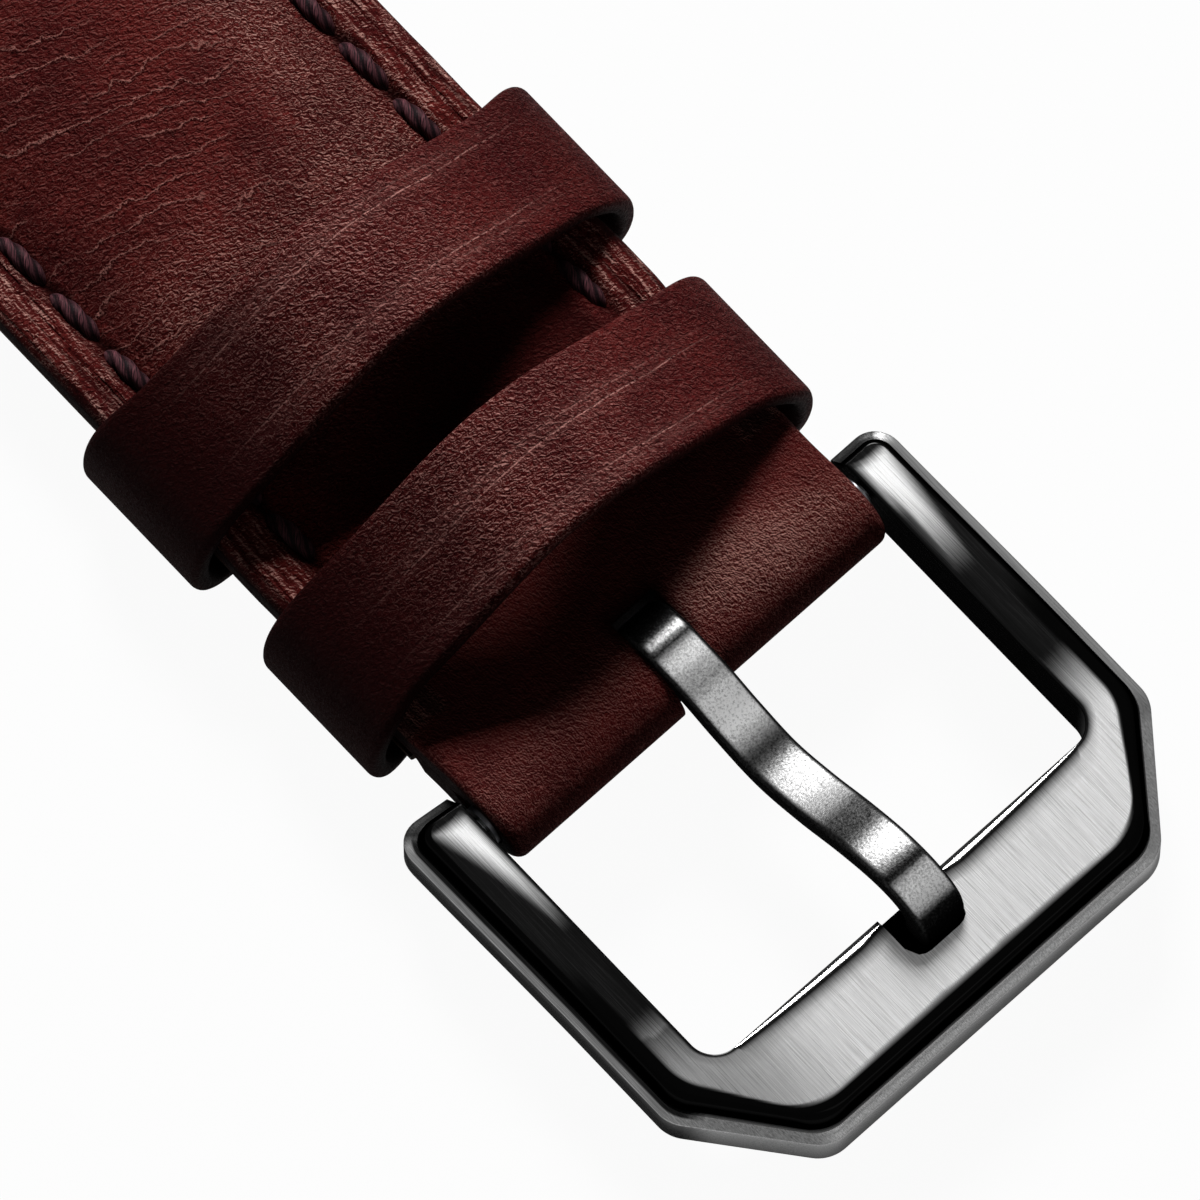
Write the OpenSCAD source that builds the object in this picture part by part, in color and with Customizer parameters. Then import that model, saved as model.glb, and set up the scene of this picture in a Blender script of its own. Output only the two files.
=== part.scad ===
// Two-piece padded leather watch strap with a chamfered pin buckle, in millimetres.
// X runs along the strap towards the buckle, Y runs across it, Z points up from the table.

/* [Strap] */
// Width of both halves
strap_w = 20; // [18:0.5:24]
// Short half, from its lug bar to the buckle's bar
short_len = 75; // [65:1:90]
// Long half, from its lug bar to its point
long_len = 115; // [105:1:130]
// Distance between the two lug bars, where the watch goes
watch_gap = 42; // [34:1:50]
// Top leather
skin_t = 1.3; // [1.1:0.1:1.6]
// Lining leather
lining_t = 0.9; // [0.7:0.1:1.2]
// Turned-back end of the top leather
tab_t = 0.8; // [0.6:0.1:1]
// Top leather pared thin where it goes round a bar
skive_t = 0.8; // [0.7:0.05:1]
// Height of the padding
pad_h = 2.2; // [1.6:0.1:2.8]
// Width of the padding
pad_w = 12; // [10:0.5:13]
// Length of the turned-back end at the buckle
buckle_tab = 20; // [16:0.5:24]
// Length of the turned-back end at a lug bar
lug_tab = 8; // [7:0.5:10]
// Rounding of the long edges
edge_r = 0.7; // [0.4:0.1:0.9]
// Length of the long half's pointed end
tip_len = 14; // [12:0.5:17]

/* [Seams and holes] */
// Distance of a seam from the edge
seam_in = 2.3; // [2:0.1:2.6]
// Stitch pitch
stitch_pitch = 3.15; // [2.8:0.05:3.6]
// Thread thickness
thread_d = 0.66; // [0.5:0.02:0.8]
// Width of the pressed groove that the thread lies in
groove_w = 1; // [0.9:0.1:1.2]
// Depth of that groove
groove_d = 0.5; // [0.4:0.05:0.6]
// Number of holes for the tang
hole_count = 7; // [4:1:7]
// Pitch of the holes
hole_pitch = 6.5; // [5.5:0.5:7]
// First hole, measured from the point
hole_first = 26; // [24:1:30]
// Play round the tang in a hole
hole_play = 0.15; // [0.1:0.05:0.3]

/* [Keepers] */
// Leather of the keepers
keeper_t = 1.3; // [1:0.1:1.4]
// Width of a keeper along the strap
keeper_w = 6.1; // [5:0.1:7]
// Buckle's bar to the near side of the fixed keeper
fixed_at = 4.9; // [4.5:0.1:6]
// Space between the two keepers
keeper_apart = 4.1; // [3:0.1:6]
// Room for the long half above the padding
tail_room = 3.75; // [3.3:0.05:4.2]
// Gap between a strap edge and a keeper's side
side_gap = 0.6; // [0.5:0.05:0.9]
// Drop of a keeper's lower corners below its middle
keeper_droop = 1.3; // [1:0.1:1.6]
// Gap under the strap where the free keeper slides
slide_gap = 0.3; // [0.2:0.05:0.4]
// Glue line between the strap and the fixed keeper
glue_gap = 0.1; // [0.08:0.01:0.15]

/* [Buckle] */
// Length of the frame along the strap
frame_l = 20.6; // [19:0.1:23]
// Width of a leg
leg_w = 2.6; // [2.3:0.1:3]
// Gap between a strap edge and a leg
leg_gap = 0.25; // [0.2:0.05:0.4]
// Thickness of the frame
frame_t = 3.4; // [3:0.1:3.8]
// Depth of the frame below the bar's axis
frame_drop = 2.3; // [2:0.05:2.5]
// Legs reach this far behind the bar's axis
leg_back = 1.8; // [1.5:0.1:2]
// Front bar, measured along the strap
front_w = 5.3; // [4.8:0.1:6]
// Chamfered corner, along the strap
corner_l = 4.9; // [4:0.1:5.4]
// Chamfered corner, across the strap
corner_w = 4; // [3:0.1:5]
// Rounding of the outer corners
corner_r = 1.2; // [0.8:0.1:1.6]
// Rounding of the window's inner corners
window_r = 1.2; // [0.8:0.1:1.6]
// Top edge band, across
band_w = 0.7; // [0.5:0.05:0.9]
// Top edge band, down
band_h = 0.5; // [0.4:0.05:0.7]
// Steep facet under the band, across
facet_w = 0.2; // [0.1:0.05:0.3]
// Steep facet under the band, down
facet_h = 1.2; // [1:0.1:1.4]
// Notch for the tang, across the strap
notch_w = 3; // [2.8:0.1:3.6]
// Notch for the tang, along the strap
notch_l = 2.3; // [2.1:0.1:2.6]
// Depth of the notch
notch_d = 1.2; // [1:0.1:1.4]

/* [Tang] */
// Width of the tang
tang_w = 2.35; // [2.1:0.05:2.5]
// Thickness of its strip, also round the bar
tang_t = 1.3; // [1.1:0.05:1.4]
// Dip of its top, above the bar's axis
tang_dip = 0.85; // [0.7:0.05:1.1]
// Hump of its top, above the bar's axis
tang_hump = 3.5; // [3.3:0.05:3.8]
// Play at each side of the tang in its slot
slot_play = 0.35; // [0.3:0.05:0.5]

/* [Spring bars] */
// Diameter of a bar's tube
tube_d = 1.8; // [1.7:0.05:1.9]
// Running clearance of a tube in leather, and of the tang on it
bar_fit = 0.09; // [0.07:0.01:0.1]
// Radius of a sprung tip's nose
nose_r = 0.45; // [0.42:0.01:0.48]
// Radius of the shank that slides inside the tube
shank_r = 0.62; // [0.61:0.01:0.65]
// Sliding clearance inside the tube and in the buckle's holes
tip_fit = 0.05; // [0.03:0.01:0.08]
// How far a nose stands out of its tube
nose_out = 1.1; // [1:0.05:1.2]
// Length of a shank
shank_l = 2.5; // [2:0.1:3]
// Closed-in end of a tube
collar_l = 0.5; // [0.4:0.05:0.6]
// Tube to the strap's edge at the lugs
lug_setback = 0.3; // [0.25:0.05:0.35]

/* [Hidden] */

// A small overshoot that keeps cuts clean
eps = 0.05;
round_sides = 48;
half_w = strap_w / 2;
margin_t = lining_t + skin_t;
block_t = lining_t + tab_t + skin_t;
crown_t = lining_t + pad_h + skin_t;
tube_r = tube_d / 2;
bore_r = tube_r + bar_fit;
fold_r = bore_r + skive_t;
tang_r = bore_r + tang_t;

// Heights above the table: keepers stand on it, the strap lies on them
strap_z = keeper_droop + keeper_t;
bar_z = strap_z + fold_r;
frame_z = bar_z - frame_drop;

// Places along the strap, from the buckle's bar
front_x = frame_l - leg_back;
short_lug_x = -short_len;
long_lug_x = short_lug_x - watch_gap;
point_x = long_lug_x - long_len;
free_at = fixed_at + keeper_w + keeper_apart;
middle_x = (front_x + point_x) / 2;

// The origin is the middle of the whole strap's footprint
module placed() translate([-middle_x, 0, 0]) children();

// Extrudes an outline of (across, up) along the strap from x0 to x1
module lengthwise(x0, x1) translate([x0, 0, 0]) rotate([90, 0, 90]) linear_extrude(x1 - x0) children();

// Extrudes an outline of (along, up) across the strap, centred
module crosswise(w) rotate([90, 0, 0]) linear_extrude(w, center = true) children();

// A round bar across the strap from y0 to y1
module round_bar(r, y0, y1)
    translate([0, y1, 0]) rotate([90, 0, 0]) cylinder(r = r, h = y1 - y0, $fn = round_sides);

// Catmull-Rom curve through points, open or closed
function spline_at(p, q, r, s, t) =
    0.5 * (2 * q + (r - p) * t + (2 * p - 5 * q + 4 * r - s) * t * t + (3 * q - p - 3 * r + s) * t * t * t);
function closed_spline(pts, steps) = [
    for (i = [0 : len(pts) - 1], k = [0 : steps - 1])
        spline_at(pts[(i + len(pts) - 1) % len(pts)], pts[i], pts[(i + 1) % len(pts)],
                  pts[(i + 2) % len(pts)], k / steps)
];
function open_spline(pts, steps) = [
    for (i = [0 : len(pts) - 2], k = [0 : steps - 1])
        spline_at(pts[max(i - 1, 0)], pts[i], pts[i + 1], pts[min(i + 2, len(pts) - 1)], k / steps),
    pts[len(pts) - 1]
];
function unit(v) = v / norm(v);
function left_of(v) = [-v.y, v.x];
function moved_in(pts, d, closed) = [
    for (i = [0 : len(pts) - 1])
        let (a = closed ? (i + len(pts) - 1) % len(pts) : max(i - 1, 0),
             b = closed ? (i + 1) % len(pts) : min(i + 1, len(pts) - 1))
        pts[i] + d * left_of(unit(pts[b] - pts[a]))
];
function reversed(pts) = [for (i = [len(pts) - 1 : -1 : 0]) pts[i]];
function arc(centre, r, from, to, steps) = [
    for (i = [0 : steps]) let (a = from + (to - from) * i / steps) centre + r * [cos(a), sin(a)]
];

// Each half is drawn with its lug bar at x = 0, its underside at z = 0, and the strap towards +x
dome_power = 2.6;
dome_steps = 24;
foot_w = 1;
function dome(half, base, rise) = [
    for (i = [0 : dome_steps]) let (y = half * (1 - 2 * i / dome_steps))
        [y, base + rise * (1 - pow(abs(y) / half, dome_power))]
];

// Cross-section of the outside: flat stitched margins with rounded edges and a padded crown
module margin_outline(top) {
    polygon(concat(
        arc([half_w - edge_r, edge_r], edge_r, -90, 0, 4),
        arc([half_w - edge_r, top - edge_r], edge_r, 0, 90, 4),
        arc([edge_r - half_w, top - edge_r], edge_r, 90, 180, 4),
        arc([edge_r - half_w, edge_r], edge_r, 180, 270, 4)
    ));
}
crown_half = pad_w / 2 + foot_w;
module crown_outline()
    polygon(concat([[-crown_half, 0], [crown_half, 0]], dome(crown_half, margin_t, pad_h)));
module filler_outline()
    polygon(concat([[pad_w / 2, 0]], dome(pad_w / 2, lining_t, pad_h), [[-pad_w / 2, 0]]));

// Where the padding starts and ends, along each half
pad_start = lug_tab + 1;
pad_ramp = 3.5;
crown_lead = 4;
crown_over = 2;
butt_at = 4.2;
pad_thins = 16;
pad_gone = 6;
short_pad_flat = short_len - pad_thins;
short_pad_end = short_len - pad_gone;
long_pad_flat = 16;
long_pad_end = 44;

module short_crown_side() polygon([
    [crown_lead, 0], [crown_lead, block_t], [pad_start, crown_t], [short_pad_flat + crown_over, crown_t],
    [short_len - butt_at, block_t], [short_len - butt_at, 0]
]);
module short_filler_side() polygon([
    [pad_start, lining_t], [pad_start + pad_ramp, lining_t + pad_h], [short_pad_flat, lining_t + pad_h],
    [short_pad_end, lining_t + tab_t + eps], [short_len - buckle_tab, lining_t + tab_t],
    [short_len - buckle_tab, lining_t]
]);
module long_crown_side() polygon([
    [crown_lead, 0], [crown_lead, block_t], [pad_start, crown_t], [long_pad_flat - crown_over, crown_t],
    [long_pad_end + crown_over, margin_t], [long_pad_end + crown_over, 0]
]);
module long_filler_side() polygon([
    [pad_start, lining_t], [pad_start + pad_ramp, lining_t + pad_h], [long_pad_flat, lining_t + pad_h],
    [long_pad_end, lining_t]
]);

// Seams: holes at an even pitch along each side, and round the long half's point
seam_y = half_w - seam_in;
seam_start = 6;
seam_stop = 12;
short_seam_end = short_len - seam_stop;
tip_r = (tip_len * tip_len + half_w * half_w) / strap_w;
tip_base = long_len - tip_len;
seam_r = tip_r - seam_in;
seam_arc = acos((tip_r - half_w) / seam_r);
function seam_top(x, long) = x < lug_tab || (!long && x > short_len - buckle_tab) ? block_t : margin_t;
function row(from, to) = let (n = floor((to - from) / stitch_pitch))
    [for (i = [0 : n]) from + i * (to - from) / n];
short_row = [for (x = row(seam_start, short_seam_end)) [x, seam_y]];
long_row = concat(
    [for (x = row(seam_start, tip_base)) [x, seam_y]],
    [for (s = row(0, seam_r * PI * seam_arc / 180)) let (a = s / seam_r * 180 / PI)
        if (s > 0) [tip_base + seam_r * sin(a), half_w - tip_r + seam_r * cos(a)]]
);
leg_side = 0.5;
thread_sides = 6;
arc_angles = [for (i = [0 : dome_steps]) i * seam_arc / dome_steps];
tip_angles = [for (i = [0 : dome_steps]) i * acos((tip_r - half_w) / tip_r) / dome_steps];
hole_r = norm([tang_w, tang_t]) / 2 + hole_play;

// Keepers, buckle and bars
keeper_side = half_w + side_gap + keeper_t;
keeper_top = strap_z + crown_t + tail_room + keeper_t;
keeper_widest = strap_z + 0.6;
keeper_belly = strap_z - 0.9;
keeper_foot = 0.45;
window_half = half_w + leg_gap;
frame_half = window_half + leg_w;
window_x = front_x - front_w;
corner_steps = 8;
foot_bevel = 0.2;
outside = 1;
band_steps = 4;
tip_hole = 1.4;
slot_back = 0.35;
slot_w = tang_w + 2 * slot_play;
notch_gap = 0.25;
tang_reach = window_x + notch_l - notch_gap - tang_t / 2;
point_lift = 0.2;
tang_end = frame_t - frame_drop - notch_d + notch_gap + point_lift;
bar_play = 0.2;
buckle_bar_half = window_half - bar_play;
lug_bar_half = half_w - lug_setback;
neck_relief = 0.03;

// One row of lock stitch: thread above and below the leather, and a pass through each hole
module stitched_row(holes, long) {
    for (hole = holes)
        translate([hole.x, hole.y, thread_d / 2])
            linear_extrude(seam_top(hole.x, long) - groove_d) square(leg_side, center = true);
    for (i = [0 : len(holes) - 2])
        let (a = holes[i], b = holes[i + 1],
             top = min(seam_top(a.x, long), seam_top(b.x, long)) - groove_d + thread_d / 2)
        for (z = [thread_d / 2, top])
            translate([a.x, a.y, z]) rotate([0, 90, atan2(b.y - a.y, b.x - a.x)])
                cylinder(d = thread_d, h = norm(b - a), $fn = thread_sides);
}
module stitches(holes, long) for (side = [0, 1]) mirror([0, side, 0]) stitched_row(holes, long);

// Pressed grooves under a straight row, above and below the leather
module groove_run(from, to, top) for (s = [-1, 1])
    translate([from, s * seam_y - groove_w / 2, top - groove_d]) cube([to - from, groove_w, crown_t]);
module lower_grooves(from, to) for (s = [-1, 1])
    translate([from, s * seam_y - groove_w / 2, -eps]) cube([to - from, groove_w, thread_d + eps]);
module arc_groove(low, high) translate([0, 0, low]) linear_extrude(high - low) for (s = [-1, 1])
    polygon(concat(
        [for (a = arc_angles)
            [tip_base, s * (half_w - tip_r)] + (seam_r + groove_w / 2) * [sin(a), s * cos(a)]],
        reversed([for (a = arc_angles)
            [tip_base, s * (half_w - tip_r)] + (seam_r - groove_w / 2) * [sin(a), s * cos(a)]])
    ));

// Leather parts shared by both halves, up to a length l
module margins(l) {
    lengthwise(0, l) margin_outline(margin_t);
    lengthwise(0, lug_tab) margin_outline(block_t);
}
module roll(x) translate([x, 0, fold_r]) round_bar(fold_r, -half_w, half_w);
module bar_bore(x) translate([x, 0, fold_r]) round_bar(bore_r, -half_w - eps, half_w + eps);
module crown(l) intersection() {
    lengthwise(0, l) crown_outline();
    crosswise(strap_w) children();
}
module filler(l) intersection() {
    lengthwise(0, l) filler_outline();
    crosswise(strap_w) children();
}
module lining_slab(from, to)
    translate([from, -half_w - eps, -eps]) cube([to - from, strap_w + 2 * eps, lining_t + eps]);
module long_plan() linear_extrude(2 * crown_t, center = true) polygon(concat(
    [[-fold_r, half_w], [-fold_r, -half_w]],
    [for (a = tip_angles) [tip_base + tip_r * sin(a), tip_r - half_w - tip_r * cos(a)]],
    reversed([for (a = tip_angles) [tip_base + tip_r * sin(a), half_w - tip_r + tip_r * cos(a)]])
));
module tang_holes() for (i = [0 : hole_count - 1])
    translate([long_len - hole_first - i * hole_pitch, 0, -eps]) cylinder(r = hole_r, h = crown_t, $fn = 32);

module short_half_at_home() placed() translate([short_lug_x, 0, strap_z]) children();
module long_half_at_home() placed() translate([long_lug_x, 0, 0]) rotate([0, 0, 180]) children();

// Padded top leather, rolled round both bars, its ends turned back under itself
module short_top_leather() color("#5a1f1c") short_half_at_home() difference() {
    union() {
        margins(short_len);
        lengthwise(short_len - buckle_tab, short_len) margin_outline(block_t);
        crown(short_len) short_crown_side();
        for (x = [0, short_len]) roll(x);
    }
    lining_slab(butt_at, short_len - butt_at);
    filler(short_len) short_filler_side();
    for (x = [0, short_len]) bar_bore(x);
    translate([short_len - tang_r - slot_back, -slot_w / 2, -eps])
        cube([tang_r + slot_back + fold_r + eps, slot_w, crown_t]);
    groove_run(seam_start - groove_w, lug_tab, block_t);
    groove_run(lug_tab, short_len - buckle_tab, margin_t);
    groove_run(short_len - buckle_tab, short_seam_end + groove_w, block_t);
}
module short_lining() color("#6b4a3a") short_half_at_home() difference() {
    intersection() {
        lengthwise(butt_at, short_len - butt_at) margin_outline(margin_t);
        lining_slab(butt_at, short_len - butt_at);
    }
    lower_grooves(seam_start - groove_w, short_seam_end + groove_w);
}
module short_filler() color("#b79a6e") short_half_at_home() filler(short_len) short_filler_side();
module short_stitches() color("#3a1a20") short_half_at_home() stitches(short_row, false);

// Loop of leather round the strap; run is the height of the outside of its lower middle
module keeper_loop(run) {
    rise = keeper_top - keeper_widest;
    half_loop = [
        [0, keeper_top], [0.17 * keeper_side, keeper_top - 0.03 * rise],
        [0.36 * keeper_side, keeper_top - 0.16 * rise],
        [0.53 * keeper_side, keeper_top - 0.305 * rise], [0.7 * keeper_side, keeper_top - 0.43 * rise],
        [0.87 * keeper_side, keeper_top - 0.555 * rise], [0.975 * keeper_side, keeper_top - 0.745 * rise],
        [keeper_side, keeper_widest], [0.985 * keeper_side, keeper_belly], [0.915 * keeper_side, keeper_foot],
        [0.78 * keeper_side, 0], [0.56 * keeper_side, 0.4 * run], [0.32 * keeper_side, run], [0, run]
    ];
    mirrored = [for (i = [len(half_loop) - 2 : -1 : 1]) [-half_loop[i].x, half_loop[i].y]];
    outer = closed_spline(concat(half_loop, mirrored), 3);
    difference() {
        polygon(outer);
        polygon(moved_in(outer, -keeper_t, true));
    }
}
module keeper(near, run) placed() lengthwise(-near - keeper_w, -near) keeper_loop(run);
module fixed_keeper() color("#4f1b1a") keeper(fixed_at, keeper_droop - glue_gap);
module free_keeper() color("#4f1b1a") keeper(free_at, keeper_droop - slide_gap);

// Plan of the buckle, anticlockwise, and its rounded corners
frame_corners = [
    [-leg_back, -frame_half], [front_x - corner_l, -frame_half], [front_x, corner_w - frame_half],
    [front_x, frame_half - corner_w], [front_x - corner_l, frame_half], [-leg_back, frame_half]
];
function rounded_corner(pts, i, r) =
    let (p = pts[i], n = len(pts), u = unit(pts[(i + n - 1) % n] - p), v = unit(pts[(i + 1) % n] - p),
         half_angle = acos(u * v) / 2, inward = unit(u + v), a = atan2(-inward.y, -inward.x),
         sweep = 90 - half_angle)
    arc(p + inward * r / sin(half_angle), r, a - sweep, a + sweep, corner_steps);
module frame_plan()
    polygon([for (i = [0 : len(frame_corners) - 1]) each rounded_corner(frame_corners, i, corner_r)]);

// What the edge bevels take off beside one straight side: (outwards, up)
module bevel_waste() {
    facet_foot = frame_t - band_h - facet_h - eps * facet_h / facet_w;
    polygon(concat(
        [[outside, frame_t + outside], [outside, facet_foot], [eps, facet_foot]],
        [for (i = [0 : band_steps]) let (a = 90 * i / band_steps)
            [-facet_w - band_w * (1 - cos(a)), frame_t - band_h * (1 - sin(a))]],
        [[-facet_w - band_w, frame_t + outside]]
    ));
    polygon([
        [outside, foot_bevel + eps], [eps, foot_bevel + eps], [-foot_bevel - eps, -eps],
        [-foot_bevel - eps, -outside], [outside, -outside]
    ]);
}
module bevel_along(a, b) translate([a.x, a.y, 0]) rotate([0, 0, atan2(b.y - a.y, b.x - a.x)])
    translate([-strap_w, 0, 0]) rotate([90, 0, 90]) linear_extrude(3 * strap_w) mirror([1, 0]) bevel_waste();

// Chamfered frame with a notch for the tang and a blind hole in each leg for the bar's tips
module buckle_frame() color("#8d8f92") placed() translate([0, 0, frame_z]) difference() {
    linear_extrude(frame_t) frame_plan();
    for (i = [0 : len(frame_corners) - 1])
        bevel_along(frame_corners[i], frame_corners[(i + 1) % len(frame_corners)]);
    translate([0, 0, -eps]) linear_extrude(frame_t + 2 * eps) polygon(concat(
        [[-leg_back - outside, window_half], [-leg_back - outside, -window_half]],
        arc([window_x - window_r, window_r - window_half], window_r, -90, 0, corner_steps),
        arc([window_x - window_r, window_half - window_r], window_r, 0, 90, corner_steps)
    ));
    translate([window_x - eps, -notch_w / 2, frame_t - notch_d]) cube([notch_l + eps, notch_w, frame_t]);
    translate([0, 0, frame_drop]) for (side = [0, 1]) mirror([0, side, 0])
        round_bar(nose_r + tip_fit, window_half - eps, window_half + tip_hole);
}

// Bent strip, rolled round the bar, dipping to the middle and hooked over the front bar
module tang_side() {
    low = tang_dip - tang_t / 2;
    rise = tang_hump - tang_t / 2 - low;
    centre = open_spline([
        [0, bore_r + tang_t / 2], [0.128 * tang_reach, bore_r + tang_t / 4],
        [0.248 * tang_reach, low + 0.17 * rise], [0.396 * tang_reach, low],
        [0.544 * tang_reach, low + 0.26 * rise], [0.691 * tang_reach, low + 0.7 * rise],
        [0.819 * tang_reach, low + 0.97 * rise], [0.919 * tang_reach, low + 0.96 * rise],
        [0.985 * tang_reach, low + 0.66 * rise], [tang_reach, tang_end]
    ], 4);
    polygon(concat(moved_in(centre, tang_t / 2, false), reversed(moved_in(centre, -tang_t / 2, false))));
}
module buckle_tang() color("#a5a6a8") placed() translate([0, 0, bar_z]) difference() {
    union() {
        round_bar(tang_r, -tang_w / 2, tang_w / 2);
        crosswise(tang_w) tang_side();
    }
    round_bar(bore_r, -tang_w, tang_w);
}

// Spring bars: a tube closed in at both ends, a tip at each end and a spring between the tips
module bar_tube(half) color("#9a9c9f") difference() {
    round_bar(tube_r, -half, half);
    round_bar(shank_r + tip_fit, collar_l - half, half - collar_l);
    round_bar(nose_r + tip_fit, -half - eps, half + eps);
}
module bar_tip(half, side) color("#b4b6b9") mirror([0, side < 0 ? 1 : 0, 0]) {
    round_bar(shank_r, half - collar_l - shank_l, half - collar_l);
    translate([0, half + eps, 0]) rotate([90, 0, 0]) cylinder(
        r1 = nose_r - neck_relief / 2, r2 = nose_r - neck_relief, h = collar_l + 2 * eps, $fn = round_sides);
    round_bar(nose_r, half, half + nose_out);
}
module bar_spring(half) color("#808285")
    round_bar(shank_r - neck_relief, collar_l + shank_l - half, half - collar_l - shank_l);

module at_buckle_bar() placed() translate([0, 0, bar_z]) children();
module at_short_lugs() placed() translate([short_lug_x, 0, bar_z]) children();
module at_long_lugs() placed() translate([long_lug_x, 0, fold_r]) children();

module buckle_bar_tube() at_buckle_bar() bar_tube(buckle_bar_half);
module buckle_bar_left_tip() at_buckle_bar() bar_tip(buckle_bar_half, -1);
module buckle_bar_right_tip() at_buckle_bar() bar_tip(buckle_bar_half, 1);
module buckle_bar_spring() at_buckle_bar() bar_spring(buckle_bar_half);
module short_lug_bar_tube() at_short_lugs() bar_tube(lug_bar_half);
module short_lug_bar_left_tip() at_short_lugs() bar_tip(lug_bar_half, -1);
module short_lug_bar_right_tip() at_short_lugs() bar_tip(lug_bar_half, 1);
module short_lug_bar_spring() at_short_lugs() bar_spring(lug_bar_half);
module long_lug_bar_tube() at_long_lugs() bar_tube(lug_bar_half);
module long_lug_bar_left_tip() at_long_lugs() bar_tip(lug_bar_half, -1);
module long_lug_bar_right_tip() at_long_lugs() bar_tip(lug_bar_half, 1);
module long_lug_bar_spring() at_long_lugs() bar_spring(lug_bar_half);

// Long half: padded near the watch, thin and pierced towards its point
module long_top_leather() color("#5a1f1c") long_half_at_home() difference() {
    intersection() {
        union() {
            margins(long_len);
            crown(long_len) long_crown_side();
            roll(0);
        }
        translate([0, 0, crown_t]) long_plan();
    }
    lining_slab(butt_at, long_len + 1);
    filler(long_len) long_filler_side();
    bar_bore(0);
    groove_run(seam_start - groove_w, lug_tab, block_t);
    groove_run(lug_tab, tip_base, margin_t);
    arc_groove(margin_t - groove_d, crown_t);
    tang_holes();
}
module long_lining() color("#6b4a3a") long_half_at_home() difference() {
    intersection() {
        lengthwise(butt_at, long_len) margin_outline(margin_t);
        lining_slab(butt_at, long_len);
        long_plan();
    }
    lower_grooves(seam_start - groove_w, tip_base);
    arc_groove(-eps, thread_d);
    tang_holes();
}
module long_filler() color("#b79a6e") long_half_at_home() filler(long_len) long_filler_side();
module long_stitches() color("#3a1a20") long_half_at_home() stitches(long_row, true);

short_top_leather();
short_lining();
short_filler();
short_stitches();
fixed_keeper();
free_keeper();
buckle_frame();
buckle_tang();
buckle_bar_tube();
buckle_bar_left_tip();
buckle_bar_right_tip();
buckle_bar_spring();
short_lug_bar_tube();
short_lug_bar_left_tip();
short_lug_bar_right_tip();
short_lug_bar_spring();
long_top_leather();
long_lining();
long_filler();
long_stitches();
long_lug_bar_tube();
long_lug_bar_left_tip();
long_lug_bar_right_tip();
long_lug_bar_spring();
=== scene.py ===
# %% [markdown]
# # A padded leather watch strap
#
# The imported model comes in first. It is the fixed frame: every node of it has its true size and place, and each
# piece made below sits where the node that it stands for sits. Lengths are worked out in millimetres, as a strap
# maker would, and only the last step turns them into metres.

# %% Load the frame
import math

import bmesh
import bpy
import numpy as np
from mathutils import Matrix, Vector


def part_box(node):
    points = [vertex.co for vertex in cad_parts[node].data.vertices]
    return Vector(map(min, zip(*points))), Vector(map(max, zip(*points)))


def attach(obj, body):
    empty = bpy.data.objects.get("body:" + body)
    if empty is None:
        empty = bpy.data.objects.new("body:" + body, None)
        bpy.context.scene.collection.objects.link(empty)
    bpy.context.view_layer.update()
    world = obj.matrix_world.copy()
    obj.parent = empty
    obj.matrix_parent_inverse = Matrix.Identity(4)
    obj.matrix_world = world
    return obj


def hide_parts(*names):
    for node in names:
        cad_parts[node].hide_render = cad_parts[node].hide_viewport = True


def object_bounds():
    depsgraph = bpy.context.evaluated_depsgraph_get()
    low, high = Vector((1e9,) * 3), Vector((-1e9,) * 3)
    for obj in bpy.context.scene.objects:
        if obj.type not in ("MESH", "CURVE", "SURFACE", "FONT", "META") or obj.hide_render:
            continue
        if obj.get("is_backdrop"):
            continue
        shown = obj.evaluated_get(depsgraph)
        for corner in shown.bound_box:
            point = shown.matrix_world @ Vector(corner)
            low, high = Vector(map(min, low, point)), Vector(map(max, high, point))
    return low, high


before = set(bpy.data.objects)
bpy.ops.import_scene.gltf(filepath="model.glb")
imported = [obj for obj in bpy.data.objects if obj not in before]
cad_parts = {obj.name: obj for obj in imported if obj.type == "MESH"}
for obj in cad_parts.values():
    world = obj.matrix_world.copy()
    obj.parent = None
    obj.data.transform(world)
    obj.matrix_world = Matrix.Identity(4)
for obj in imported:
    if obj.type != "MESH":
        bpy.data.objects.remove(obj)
cad_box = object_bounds()


def middle_of(node):
    """The middle of a node's box, in millimetres."""
    low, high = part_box(node)
    return (np.array(low) + np.array(high)) * 500


bar = middle_of("buckle_bar_tube")
short_lug = middle_of("short_lug_bar_tube")
long_lug = middle_of("long_lug_bar_tube")
short_len = bar[0] - short_lug[0]
print("buckle's bar at", bar.round(2), "short half", round(short_len, 2), "mm from bar to bar")

# %% [markdown]
# ## Sizes
#
# These are the sizes of the strap itself: how thick its leathers are, how far its seams stand from the edge, how far
# its ends turn back. They could be read off the nodes one by one, but a maker's own numbers keep every shape below
# readable.

# %% Sizes in millimetres
half_w, skin_t, lining_t, tab_t, skive_t = 10.0, 1.3, 0.9, 0.8, 0.8
margin_t, block_t, crown_t = 2.2, 3.0, 4.4
bore_r, fold_r = 0.99, 1.79
seam_in, pitch, thread_r, groove_d = 2.3, 3.15, 0.33, 0.5
lug_tab, buckle_tab, butt_at = 8.0, 20.0, 4.2
tip_len, long_len = 14.0, 115.0
tip_r = (tip_len**2 + half_w**2) / (2 * half_w)
tip_base = long_len - tip_len
keeper_t, keeper_w = 1.12, 6.1
window_half, leg_w, leg_back, frame_t = 10.25, 2.6, 1.8, 3.4
strap_z = short_lug[2] - fold_r
print("the short half's underside is", round(strap_z, 2), "mm above the table")

# %% [markdown]
# ## Tools for surfaces
#
# A strap is a set of bent sheets. Each is a grid of points on its outside and a second grid on its inside, with a
# wall round the rim. Blender's own Solidify could thicken one sheet, but the inside of this leather isn't parallel
# to its outside, so both grids are worked out.


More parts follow.
